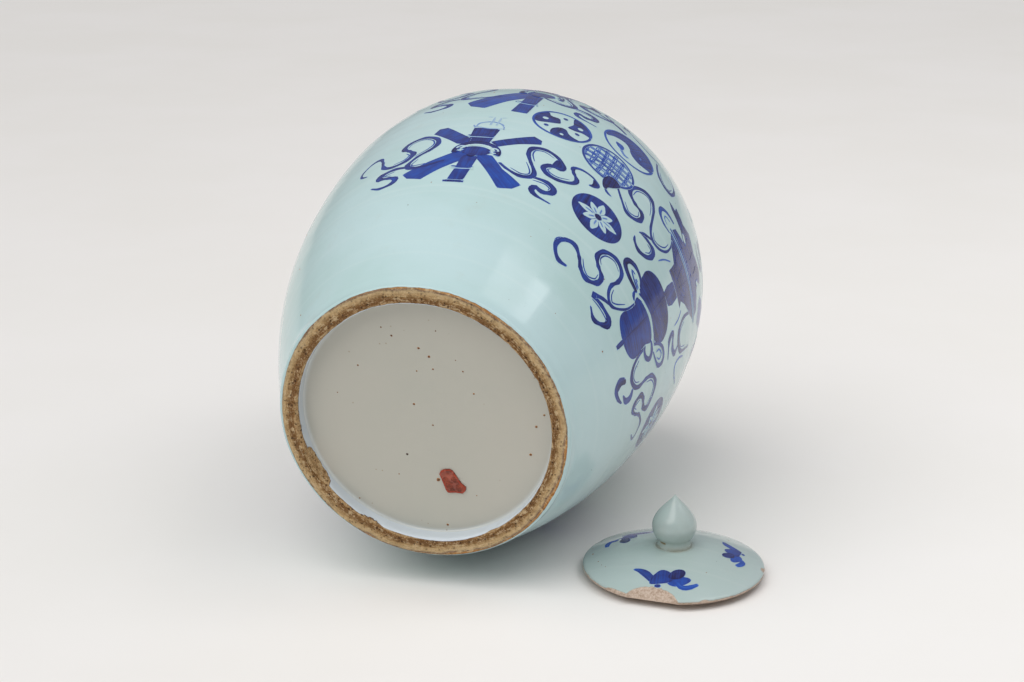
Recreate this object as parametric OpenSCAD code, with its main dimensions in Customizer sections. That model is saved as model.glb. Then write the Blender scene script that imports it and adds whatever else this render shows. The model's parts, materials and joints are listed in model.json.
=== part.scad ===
// Ginger jar lying on its belly, with its lid set down beside it.
// All sizes are in millimetres. +Z is up, and z = 0 is the surface they lie on.
// The jar's own axis points along +Y, base towards -Y, and rises a little.
// Round pieces are turned from [radius, height] outlines about their own axis.

/* [Jar body] */
// Radius of the belly at its widest line
belly_r = 133.5; // [125:0.5:142]
// Height of the widest line above the foot
belly_z = 200; // [190:1:210]
// Radius of the long curve from the foot up to the widest line
lower_curve_r = 450; // [430:5:480]
// Radius of the curve just above the widest line
upper_curve_r = 190; // [180:1:200]
// Radius of the curve over the shoulder
shoulder_curve_r = 60; // [56:1:64]
// Steepness at which the shoulder curve takes over
shoulder_from = 22; // [20:1:24]
// Thickness of the thrown wall
wall = 6.5; // [5:0.5:8]
// Angle at which the jar's axis rises as it lies on its belly
lie_tilt = 8; // [6:0.5:10]

/* [Foot and base] */
// Outer radius of the foot ring at its face
foot_r = 89; // [84:0.5:90]
// Inner radius of the foot ring
foot_bore_r = 77; // [74:0.5:79]
// Height of the foot ring, which is the depth of the base recess
foot_h = 10; // [8:0.5:12]
// Radius of the rounded edges of the foot ring
foot_edge_r = 2.5; // [1:0.5:3]
// Thickness of the base disc
base_h = 10; // [8:0.5:12]
// Thickness of the wax dab on the base
wax_h = 0.8; // [0.4:0.1:1.2]

/* [Neck] */
// Outer radius of the neck
neck_r = 52; // [50:0.5:53]
// Radius of the mouth
mouth_r = 44.5; // [43.5:0.5:46]
// Height of the neck above the shoulder
neck_h = 16; // [12:1:20]
// Radius of the rounded lip
lip_r = 1.5; // [0.5:0.5:2.5]

/* [Lid] */
// Outer radius of the lid
lid_r = 56; // [55:0.5:60]
// Height of the dome from the rim's underside to the knob
dome_h = 14.5; // [13:0.5:16]
// Thickness of the lid at its rim
rim_h = 2.6; // [2:0.2:3.2]
// Bevel round the lower edge of the rim
rim_bevel = 1; // [0.4:0.1:1.2]
// Rounding of the upper edge of the rim
rim_round = 0.8; // [0.4:0.1:1]
// Thickness of the dome
dome_wall = 5; // [4:0.5:6]
// Radius of the dome's gentle curve
dome_curve_r = 150; // [120:10:200]
// Outer radius of the locating flange under the lid
flange_r = 41; // [40:0.5:42]
// Thickness of the flange
flange_wall = 4; // [3:0.5:5]
// Height of the flange
flange_h = 4.5; // [4:0.5:6]

/* [Knob] */
// Radius of the bud-shaped knob at its widest
knob_r = 13.6; // [12:0.2:15]
// Height from the widest line up to the point
knob_point_h = 20; // [18:0.5:23]
// Height from the dome up to the widest line
knob_lower_h = 13.5; // [12.5:0.5:15]
// Radius of the collar under the knob
knob_collar_r = 9.6; // [9:0.2:10.4]

/* [Lid's place] */
// Distance of the lid's centre to the right of the jar's axis
lid_right = 140; // [138:1:160]
// Distance of the lid's centre behind the middle of the foot
lid_behind = 68; // [40:1:90]

/* [Hidden] */
$fn = 96;

glaze_colour = "#c3dcdc";
base_colour = "#acaaa1";
biscuit_colour = "#8e6f4b";
wax_colour = "#7c422e";

// Straight stretches in each arc of an outline
steps_short = 12;
steps_edge = 5;

// Centres of the three arcs of the jar's outline, as [radius, height]
lower_centre = [belly_r - lower_curve_r, belly_z];
upper_centre = [belly_r - upper_curve_r, belly_z];
shoulder_centre = upper_centre
    + (upper_curve_r - shoulder_curve_r) * [cos(shoulder_from), sin(shoulder_from)];
// Steepness at which the shoulder curve ends in a straight slope to the neck
shoulder_to = 80;
// The shoulder curve's first point lies this far past the end of the curve before it
shoulder_skip = 3;
slope = tan(90 - shoulder_to);

shoulder_end = shoulder_centre + shoulder_curve_r * [cos(shoulder_to), sin(shoulder_to)];
inside_end = shoulder_centre
    + (shoulder_curve_r - wall) * [cos(shoulder_to), sin(shoulder_to)];
// The wall is parted at these heights and at the widest line, so that each ring's outline is nearly straight
lower_join_z = 105;
shoulder_join_z = 255;
// The neck stands on a seat a little wider than itself
neck_root = 2;
seat_r = neck_r + neck_root;
seat_z = shoulder_end.y + (shoulder_end.x - seat_r) * slope;
// The opening through the shoulder is a little wider than the mouth
mouth_ledge = 1.5;
shoulder_hole_r = mouth_r + mouth_ledge;
jar_h = seat_z + neck_h;

rim_z = flange_h;
dome_z = rim_z + dome_h;
// Place of the wax dab from the middle of the base
wax_right = 13.5;
wax_down = 42;

collar_flare = 1.1;
knob_wide_z = dome_z + knob_lower_h;
knob_under_r = 14;
// Power that draws the top of the knob out to a point
knob_point_power = 1.2;

// Height of the middle of the foot's face when the belly just touches z = 0
foot_z = lower_curve_r + lower_centre.x * cos(lie_tilt) - belly_z * sin(lie_tilt);
// The bounding box of jar and lid is centred on x = 0 and y = 0
box_left = -belly_r;
box_right = lid_right + lid_r;
box_front = -(foot_r - foot_edge_r) * sin(lie_tilt);
box_back = (jar_h - lip_r) * cos(lie_tilt) + (neck_r - lip_r) * sin(lie_tilt) + lip_r;
jar_x = -(box_left + box_right) / 2;
foot_y = -(box_front + box_back) / 2;
lid_x = jar_x + lid_right;
lid_y = foot_y + lid_behind;

// Points of an arc in an outline: angles are those of the outward normal above level
function arc(centre, radius, from, to, steps) =
    [for (i = [0:steps])
        let (a = from + (to - from) * i / steps)
        centre + radius * [cos(a), sin(a)]];

// Angle at which either curve that meets the widest line passes a height
function curve_angle(radius, z) = asin((z - belly_z) / radius);

// Stretch of the jar's outline between two heights, on one side of the widest line
function wall_outline(centre, radius, from, to) =
    arc(centre, radius, curve_angle(radius, from), curve_angle(radius, to), steps_short);

// Jar's outline over the shoulder, set in by a thickness
function shoulder_outline(set_in) =
    concat(
        arc(upper_centre, upper_curve_r - set_in, curve_angle(upper_curve_r - set_in, shoulder_join_z),
            shoulder_from, steps_edge),
        arc(shoulder_centre, shoulder_curve_r - set_in, shoulder_from + shoulder_skip, shoulder_to,
            steps_short));

function reversed(points) = [for (i = [len(points) - 1:-1:0]) points[i]];

function lower_r(set_in, z) = lower_centre.x
    + (lower_curve_r - set_in) * cos(curve_angle(lower_curve_r - set_in, z));

module turned(points) {
    rotate_extrude()
        polygon(points);
}

// Puts a piece that is modelled upright on its foot where the lying jar has it
module on_jar() {
    translate([jar_x, foot_y, foot_z])
        rotate([lie_tilt - 90, 0, 0])
            children();
}

// Puts a piece that is modelled at the origin where the lid stands
module on_lid() {
    translate([lid_x, lid_y, 0])
        children();
}

module foot_ring() {
    color(biscuit_colour)
        on_jar()
            turned(concat(
                arc([foot_bore_r + foot_edge_r, foot_edge_r], foot_edge_r, 180, 270, steps_edge),
                arc([foot_r - foot_edge_r, foot_edge_r], foot_edge_r, 270, 360, steps_edge),
                [[lower_r(0, foot_h), foot_h], [foot_bore_r, foot_h]]));
}

module base_disc() {
    top = foot_h + base_h;
    color(base_colour)
        on_jar()
            turned([[0, foot_h], [lower_r(wall, foot_h), foot_h], [lower_r(wall, top), top], [0, top]]);
}

module lower_wall() {
    // The first inside point is the top of the base disc, so the two share one slant face
    top = foot_h + base_h;
    color(glaze_colour)
        on_jar()
            turned(concat(
                wall_outline(lower_centre, lower_curve_r, foot_h, lower_join_z),
                reversed(wall_outline(lower_centre, lower_curve_r - wall, top, lower_join_z)),
                [[lower_r(wall, foot_h), foot_h]]));
}

// Ring of the wall between two heights, on one side of the widest line
module wall_ring(centre, radius, from, to) {
    color(glaze_colour)
        on_jar()
            turned(concat(
                wall_outline(centre, radius, from, to),
                reversed(wall_outline(centre, radius - wall, from, to))));
}

module belly_lower() {
    wall_ring(lower_centre, lower_curve_r, lower_join_z, belly_z);
}

module belly_upper() {
    wall_ring(upper_centre, upper_curve_r, belly_z, shoulder_join_z);
}

module shoulder() {
    color(glaze_colour)
        on_jar()
            turned(concat(
                shoulder_outline(0),
                [[seat_r, seat_z], [shoulder_hole_r, seat_z]],
                [[shoulder_hole_r, inside_end.y + (inside_end.x - shoulder_hole_r) * slope]],
                reversed(shoulder_outline(wall))));
}

module neck() {
    top = seat_z + neck_h;
    color(glaze_colour)
        on_jar()
            turned(concat(
                [[mouth_r, seat_z]],
                reversed(arc([neck_r + neck_root, seat_z + neck_root], neck_root, 180, 270, steps_edge)),
                arc([neck_r - lip_r, top - lip_r], lip_r, 0, 90, steps_edge),
                arc([mouth_r + lip_r, top - lip_r], lip_r, 90, 180, steps_edge)));
}

// Ragged dab of red wax on the recessed base, seen from below
module wax_dab() {
    wax_outline = [[-5, -8], [0, -8], [4, -2], [8, 3], [6, 7], [-3, 7], [-6, 1], [-8, -4]];
    color(wax_colour)
        on_jar()
            translate([wax_right, wax_down, foot_h - wax_h])
                linear_extrude(wax_h)
                    polygon(wax_outline);
}

module lid_dome() {
    // Chord of the dome's curve, from the top of the rim to the edge of the knob's collar
    low = [lid_r - rim_round, rim_z + rim_h];
    high = [knob_collar_r + collar_flare, dome_z];
    chord = high - low;
    half = norm(chord) / 2;
    centre = (low + high) / 2
        - sqrt(dome_curve_r * dome_curve_r - half * half) * [chord.y, -chord.x] / norm(chord);
    from = atan2(low.y - centre.y, low.x - centre.x);
    to = atan2(high.y - centre.y, high.x - centre.x);
    inner_r = flange_r - flange_wall;
    color(glaze_colour)
        on_lid()
            turned(concat(
                [[inner_r, rim_z], [lid_r - rim_bevel, rim_z], [lid_r, rim_z + rim_bevel]],
                [[lid_r, rim_z + rim_h - rim_round]],
                arc(centre, dome_curve_r, from, to, steps_short),
                [[0, dome_z], [0, dome_z - dome_wall], [inner_r, rim_z + rim_h]]));
}

module lid_flange() {
    color(biscuit_colour)
        on_lid()
            turned([[flange_r - flange_wall, 0], [flange_r, 0], [flange_r, flange_h],
                [flange_r - flange_wall, flange_h]]);
}

module lid_knob() {
    under_centre = [knob_r - knob_under_r, knob_wide_z];
    under_to = -acos((knob_collar_r - under_centre.x) / knob_under_r);
    point = [for (i = [1:steps_short])
        let (s = 1 - i / steps_short)
        [knob_r * pow(sin(90 * s), knob_point_power), knob_wide_z + knob_point_h * (1 - s)]];
    color(glaze_colour)
        on_lid()
            turned(concat(
                [[0, dome_z], [knob_collar_r + collar_flare, dome_z]],
                arc(under_centre, knob_under_r, under_to, 0, steps_short),
                point));
}

foot_ring();
base_disc();
lower_wall();
belly_lower();
belly_upper();
shoulder();
neck();
wax_dab();
lid_dome();
lid_flange();
lid_knob();
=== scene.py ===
import json
import math
import random

import bmesh
import bpy
import numpy as np
from mathutils import Matrix, Vector, noise
from mathutils.geometry import delaunay_2d_cdt


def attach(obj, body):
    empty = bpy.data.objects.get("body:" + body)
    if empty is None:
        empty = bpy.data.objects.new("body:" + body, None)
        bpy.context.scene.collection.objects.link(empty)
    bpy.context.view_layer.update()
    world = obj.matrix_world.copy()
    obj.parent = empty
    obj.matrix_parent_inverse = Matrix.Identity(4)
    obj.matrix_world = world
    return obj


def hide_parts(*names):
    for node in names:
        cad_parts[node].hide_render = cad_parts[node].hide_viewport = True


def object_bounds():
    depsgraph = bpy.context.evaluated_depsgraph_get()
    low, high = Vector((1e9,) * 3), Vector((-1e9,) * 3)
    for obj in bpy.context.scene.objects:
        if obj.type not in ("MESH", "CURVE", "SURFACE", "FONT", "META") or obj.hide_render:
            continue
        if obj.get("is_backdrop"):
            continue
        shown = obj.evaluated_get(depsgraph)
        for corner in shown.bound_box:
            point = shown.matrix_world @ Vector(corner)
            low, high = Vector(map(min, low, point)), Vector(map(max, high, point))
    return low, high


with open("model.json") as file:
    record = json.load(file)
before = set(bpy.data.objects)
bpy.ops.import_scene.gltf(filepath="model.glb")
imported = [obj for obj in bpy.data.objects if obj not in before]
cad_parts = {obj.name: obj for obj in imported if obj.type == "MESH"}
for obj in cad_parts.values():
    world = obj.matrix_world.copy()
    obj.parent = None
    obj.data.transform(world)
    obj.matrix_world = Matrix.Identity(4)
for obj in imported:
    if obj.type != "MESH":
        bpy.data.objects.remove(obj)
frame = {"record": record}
cad_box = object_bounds()

# Glazed ginger jar lying on its belly, with its lid set down beside it.
# Lengths are millimetres until MM turns them into metres.
# A place on the jar is (angle, height): degrees round from its uppermost line and height above its foot.
# A place on the lid is (x, y), measured from the lid's middle.
MM = 0.001

# ---------------------------------------------------------------- where the jar and the lid are

mounts = {m["name"]: m for m in frame["record"]["mounts"]}
mouth_middle = Vector(mounts["mouth"]["pos_m"])
foot_face = Vector(mounts["foot_rest"]["pos_m"])
JAR_AXIS = Vector(mounts["mouth"]["axis"]).normalized()
FOOT = mouth_middle - JAR_AXIS * (mouth_middle - foot_face).dot(JAR_AXIS)
ACROSS = Vector((1, 0, 0))
UPPERMOST = ACROSS.cross(JAR_AXIS)
lid_middle = Vector(mounts["lid_locator"]["pos_m"])
LID = Vector((lid_middle.x, lid_middle.y, 0))

# ---------------------------------------------------------------- sizes, as the CAD part has them

BELLY_R, BELLY_Z = 133.5, 200
LOWER_CURVE_R, UPPER_CURVE_R, SHOULDER_CURVE_R = 450, 190, 60
SHOULDER_FROM, SHOULDER_TO = math.radians(22), math.radians(80)
WALL = 6.5
FOOT_R, FOOT_BORE_R, FOOT_H, FOOT_EDGE_R = 89, 77, 10, 2.5
BASE_H = 10
NECK_R, MOUTH_R, NECK_H, LIP_R = 52, 44.5, 16, 1.5
SEAT_R = NECK_R + 2
HOLE_R = MOUTH_R + 1.5
LID_R, RIM_Z, RIM_H, DOME_Z, DOME_WALL, DOME_CURVE_R = 56, 4.5, 2.6, 19, 5, 150
FLANGE_R, FLANGE_WALL = 41, 4
KNOB_R, KNOB_WIDE_Z, KNOB_POINT_H, COLLAR_R, KNOB_UNDER_R = 13.6, 32.5, 20, 10.7, 14

# Surface of the hand-made wall and base, which the CAD part leaves plain
HOLLOW_DEPTH, RING_DEPTH, SET_IN = 0.45, 0.13, 0.25
BASE_DISH = 0.8

# Arcs of the jar's outline: radius and height of the centre, and radius of the arc
LOWER_ARC = (BELLY_R - LOWER_CURVE_R, BELLY_Z, LOWER_CURVE_R)
UPPER_ARC = (BELLY_R - UPPER_CURVE_R, BELLY_Z, UPPER_CURVE_R)
SHOULDER_ARC = (
    UPPER_ARC[0] + (UPPER_CURVE_R - SHOULDER_CURVE_R) * math.cos(SHOULDER_FROM),
    BELLY_Z + (UPPER_CURVE_R - SHOULDER_CURVE_R) * math.sin(SHOULDER_FROM),
    SHOULDER_CURVE_R,
)
SHOULDER_Z = BELLY_Z + UPPER_CURVE_R * math.sin(SHOULDER_FROM)


def arc(centre_r, centre_z, radius, start, end, steps):
    """Points (radius, height) of an arc. start and end are the rise of its outward normal above level, in
    radians."""
    rises = [start + (end - start) * i / steps for i in range(steps + 1)]
    return [(centre_r + radius * math.cos(a), centre_z + radius * math.sin(a)) for a in rises]


def jar_outline(height):
    """Radius of the jar's outside at a height, and the rise of its outward normal above level."""
    if height < BELLY_Z:
        centre_r, centre_z, radius = LOWER_ARC
    elif height < SHOULDER_Z:
        centre_r, centre_z, radius = UPPER_ARC
    else:
        centre_r, centre_z, radius = SHOULDER_ARC
    rise = math.asin(max(-1, min(1, (height - centre_z) / radius)))
    return centre_r + radius * math.cos(rise), rise


def round_axis(angle, radius=1.0, height=0.0):
    """A place round an upright axis, at which noise is read so that it joins up all the way round."""
    a = math.radians(angle)
    return Vector((math.cos(a), math.sin(a), 0)) * radius + Vector((0, 0, height))


def hand_thrown(angle, height):
    """How far the thrown wall strays from its true outline, in soft hollows and in rings from the potter's
    fingers. It is set in a little, so that it stays within that outline."""
    hollow = noise.noise(round_axis(angle, height=height / 90) * 1.1)
    ring = noise.noise(round_axis(angle, 0.3, height / 8))
    return HOLLOW_DEPTH * hollow + RING_DEPTH * ring - SET_IN


def clip(value):
    """A value kept between 0 and 1."""
    return max(0.0, min(1.0, value))


def out_from_axis(angle):
    a = math.radians(angle)
    return ACROSS * math.sin(a) + UPPERMOST * math.cos(a)


def on_jar(angle, radius, height):
    """A point at a radius and height about the jar's axis, in metres."""
    return FOOT + (JAR_AXIS * height + out_from_axis(angle) * radius) * MM


def jar_surface(angle, height, raised=0.0):
    """A point on the outside of the jar's wall, or raised above it."""
    radius, rise = jar_outline(height)
    radius += hand_thrown(angle, height) + raised * math.cos(rise)
    return on_jar(angle, radius, height + raised * math.sin(rise))


def jar_grid(angle, height):
    """Millimetres on the jar's surface for one degree and for one millimetre of height."""
    radius, rise = jar_outline(height)
    return radius * math.radians(1), 1 / max(0.2, math.cos(rise))


def on_lid(angle, radius, height):
    a = math.radians(angle)
    return LID + Vector((math.cos(a) * radius, math.sin(a) * radius, height)) * MM


def dome_arc():
    """Centre and limits of the arc over the lid, from its rim to the knob's collar."""
    low, high = Vector((LID_R - 0.8, RIM_Z + RIM_H)), Vector((COLLAR_R, DOME_Z))
    chord = high - low
    drop = math.sqrt(DOME_CURVE_R ** 2 - (chord.length / 2) ** 2)
    centre = (low + high) / 2 - Vector((chord.y, -chord.x)) / chord.length * drop
    rises = [math.atan2(p.y - centre.y, p.x - centre.x) for p in (low, high)]
    return centre.x, centre.y, DOME_CURVE_R, rises[0], rises[1]


def lid_surface(x, y, raised=0.0):
    """A point on top of the lid's dome."""
    centre_r, centre_z, radius, start, end = dome_arc()
    away = math.hypot(x, y)
    height = centre_z + math.sqrt(radius ** 2 - (away - centre_r) ** 2)
    return LID + Vector((x, y, height + raised)) * MM


def lid_grid(x, y):
    return 1, 1


# ---------------------------------------------------------------- meshes

def add_piece(name, points, faces, body, material, stands_for=(), values=None, sharp=40):
    """A mesh that rides on a body. values maps an attribute's name to one number or vector for each point."""
    mesh = bpy.data.meshes.new(name)
    mesh.from_pydata(points, [], faces)
    work = bmesh.new()
    work.from_mesh(mesh)
    bmesh.ops.recalc_face_normals(work, faces=work.faces)
    work.to_mesh(mesh)
    work.free()
    for key, numbers in (values or {}).items():
        if isinstance(numbers[0], (int, float)):
            layer = mesh.attributes.new(key, "FLOAT", "POINT")
            layer.data.foreach_set("value", numbers)
        else:
            layer = mesh.attributes.new(key, "FLOAT_VECTOR", "POINT")
            layer.data.foreach_set("vector", [c for v in numbers for c in v])
    mesh.polygons.foreach_set("use_smooth", [True] * len(mesh.polygons))
    mesh.set_sharp_from_angle(angle=math.radians(sharp))
    mesh.materials.append(material)
    piece = bpy.data.objects.new(name, mesh)
    bpy.context.scene.collection.objects.link(piece)
    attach(piece, body)
    if stands_for:
        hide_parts(*stands_for)
    return piece


def turned(outline, place, segments):
    """Points and faces of an outline turned about an axis, and the (angle, radius, height) that place was
    given for each point. An end at radius 0 is a pole, and an outline without poles is a loop."""
    spots, rows = [], []
    for radius, height in outline:
        count = 1 if radius == 0 else segments
        rows.append(list(range(len(spots), len(spots) + count)))
        spots += [(360 * j / count, radius, height) for j in range(count)]
    points = [place(*spot) for spot in spots]
    pairs = list(zip(rows, rows[1:]))
    if len(rows[0]) > 1:
        pairs.append((rows[-1], rows[0]))
    faces = []
    for a, b in pairs:
        for j in range(segments):
            k = (j + 1) % segments
            if len(a) == 1:
                faces.append((a[0], b[j], b[k]))
            elif len(b) == 1:
                faces.append((a[j], a[k], b[0]))
            else:
                faces.append((a[j], a[k], b[k], b[j]))
    return points, faces, spots


def smooth_curve(points, closed=False, steps=12):
    """A Catmull-Rom curve through points (u, v)."""
    count = len(points)
    spans = count if closed else count - 1
    made = []
    for i in range(spans):
        if closed:
            p0, p1, p2, p3 = (Vector(points[(i + k) % count]) for k in (-1, 0, 1, 2))
        else:
            p0, p1, p2, p3 = (Vector(points[max(0, min(count - 1, i + k))]) for k in (-1, 0, 1, 2))
        for j in range(steps):
            t = j / steps
            made.append(
                0.5 * (2 * p1 + (p2 - p0) * t + (2 * p0 - 5 * p1 + 4 * p2 - p3) * t ** 2
                       + (3 * p1 - p0 - 3 * p2 + p3) * t ** 3)
            )
    if not closed:
        made.append(Vector(points[-1]))
    return made


def evenly(points, spacing, closed=False):
    """The same line with its points about spacing apart; keeps both ends."""
    line = points + [points[0]] if closed else points
    lengths = [(b - a).length for a, b in zip(line, line[1:])]
    total = sum(lengths)
    count = max(3 if closed else 2, round(total / spacing))
    made, i, passed = [], 0, 0.0
    for k in range(count if closed else count + 1):
        want = total * k / count
        while i < len(lengths) - 1 and passed + lengths[i] < want:
            passed += lengths[i]
            i += 1
        part = (want - passed) / lengths[i] if lengths[i] else 0
        made.append(line[i].lerp(line[i + 1], clip(part)))
    return made


def depth_inside(places, edge):
    """Distance from each place to an outline, negative outside it."""
    p = np.array(places, float)[:, None, :]
    a = np.array(edge, float)[None, :, :]
    b = np.roll(a, -1, axis=1)
    span = b - a
    t = np.clip(((p - a) * span).sum(2) / np.maximum((span ** 2).sum(2), 1e-12), 0, 1)
    nearest = np.sqrt((((p - a) - span * t[..., None]) ** 2).sum(2)).min(1)
    rise = np.where(b[..., 1] == a[..., 1], 1e-12, b[..., 1] - a[..., 1])
    crossing = a[..., 0] + (p[..., 1] - a[..., 1]) / rise * span[..., 0]
    hits = ((a[..., 1] > p[..., 1]) != (b[..., 1] > p[..., 1])) & (p[..., 0] < crossing)
    return np.where(hits.sum(1) % 2 == 1, nearest, -nearest)


# ---------------------------------------------------------------- brushwork

FEATHER = 0.45  # soft edge outside each stroke
LAYER = 0.05  # each layer of colour lies this much above the last
SUNK = 0.3  # the underside of a stroke lies this deep in the glaze
BRUSH_STEP = 1.5  # between points along a stroke
WASH_STEP = 3.2  # between points inside a wash


WOBBLE = 0.16  # a stroke's width strays by this part of itself
EDGE_TONE, CORE_TONE = 1.06, 0.92  # colour gathers at a stroke's edges


def from_grid(points, grid):
    """Points in millimetres on a surface as its own places."""
    return [(p.x / grid.x, p.y / grid.y) for p in points]


def tapered(half, taper, passed, total):
    """Half the width of a stroke, narrowed towards its ends and rounded off at them."""
    t = passed / total
    half *= taper[0] + (1 - taper[0]) * min(1, t * 4) if t < 0.25 else 1
    half *= taper[1] + (1 - taper[1]) * min(1, (1 - t) * 3) if t > 0.667 else 1
    from_end = min(passed, total - passed)
    if from_end < half:
        half *= max(0.25, math.sqrt(1 - (1 - from_end / half) ** 2))
    return half


def brush_profile(line, width, swell, taper, salt):
    """Half width, way across and distance along at each point of a brush line, which widens at its bends."""
    count = len(line)
    total = sum((b - a).length for a, b in zip(line, line[1:]))
    halves, sides, lengths = [], [], []
    passed = 0.0
    for i, p in enumerate(line):
        before, after = line[max(0, i - 1)], line[min(count - 1, i + 1)]
        way = (after - before).normalized()
        passed += (p - line[i - 1]).length if i else 0
        bend = 0.0
        if 0 < i < count - 1:
            bend = (p - before).angle(after - p, 0) / max(0.3, (after - before).length / 2)
        half = width / 2 * (1 - swell * 0.35 + swell * min(1.1, 7 * bend))
        half *= 1 + WOBBLE * noise.noise(Vector((passed / 6, salt, 0)))
        halves.append(tapered(half, taper, passed, total))
        sides.append(Vector((-way.y, way.x)))
        lengths.append(passed)
    return halves, sides, lengths


def edge_points(line, curved):
    """The outline in short steps, anticlockwise, keeping its corners when it isn't curved."""
    if curved:
        edge = evenly(line, BRUSH_STEP * 1.2, closed=True)
    else:
        edge = []
        for a, b in zip(line, line[1:] + line[:1]):
            edge += evenly([a, b], BRUSH_STEP * 1.2)[:-1]
    area = sum(a.x * b.y - b.x * a.y for a, b in zip(edge, edge[1:] + edge[:1]))
    return edge if area > 0 else edge[::-1]


def inset(edge, depth):
    """An anticlockwise outline moved inwards."""
    made = []
    for i, p in enumerate(edge):
        way = (edge[(i + 1) % len(edge)] - edge[i - 1]).normalized()
        made.append(p + Vector((-way.y, way.x)) * depth)
    return made


def even_grid(edge, step):
    """Points at even steps over the box round an outline, with every other row half a step along."""
    low = Vector((min(p.x for p in edge), min(p.y for p in edge)))
    high = Vector((max(p.x for p in edge), max(p.y for p in edge)))
    made = []
    row, y = 0, low.y
    while y < high.y:
        x = low.x + (row % 2) * step / 2
        while x < high.x:
            made.append(Vector((x, y)))
            x += step
        y += step * 0.87
        row += 1
    return made


def filled(edge, rings, step):
    """Points and triangles that fill an outline, with rings of points close inside it."""
    close = [p for ring in rings for p in ring]
    inner = close + even_grid(edge, step)
    limits = [FEATHER * 0.8] * len(close) + [FEATHER + 2] * (len(inner) - len(close))
    inner = [p for p, d, limit in zip(inner, depth_inside(inner, edge), limits) if d > limit]
    loop = [(i, (i + 1) % len(edge)) for i in range(len(edge))]
    points, _, triangles, _, _, _ = delaunay_2d_cdt(edge + inner, loop, [], 1, 1e-4)
    middles = [sum((points[i] for i in t), Vector((0, 0))) / len(t) for t in triangles]
    return points, [t for t, d in zip(triangles, depth_inside(middles, edge)) if d > -1e-6]


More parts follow.
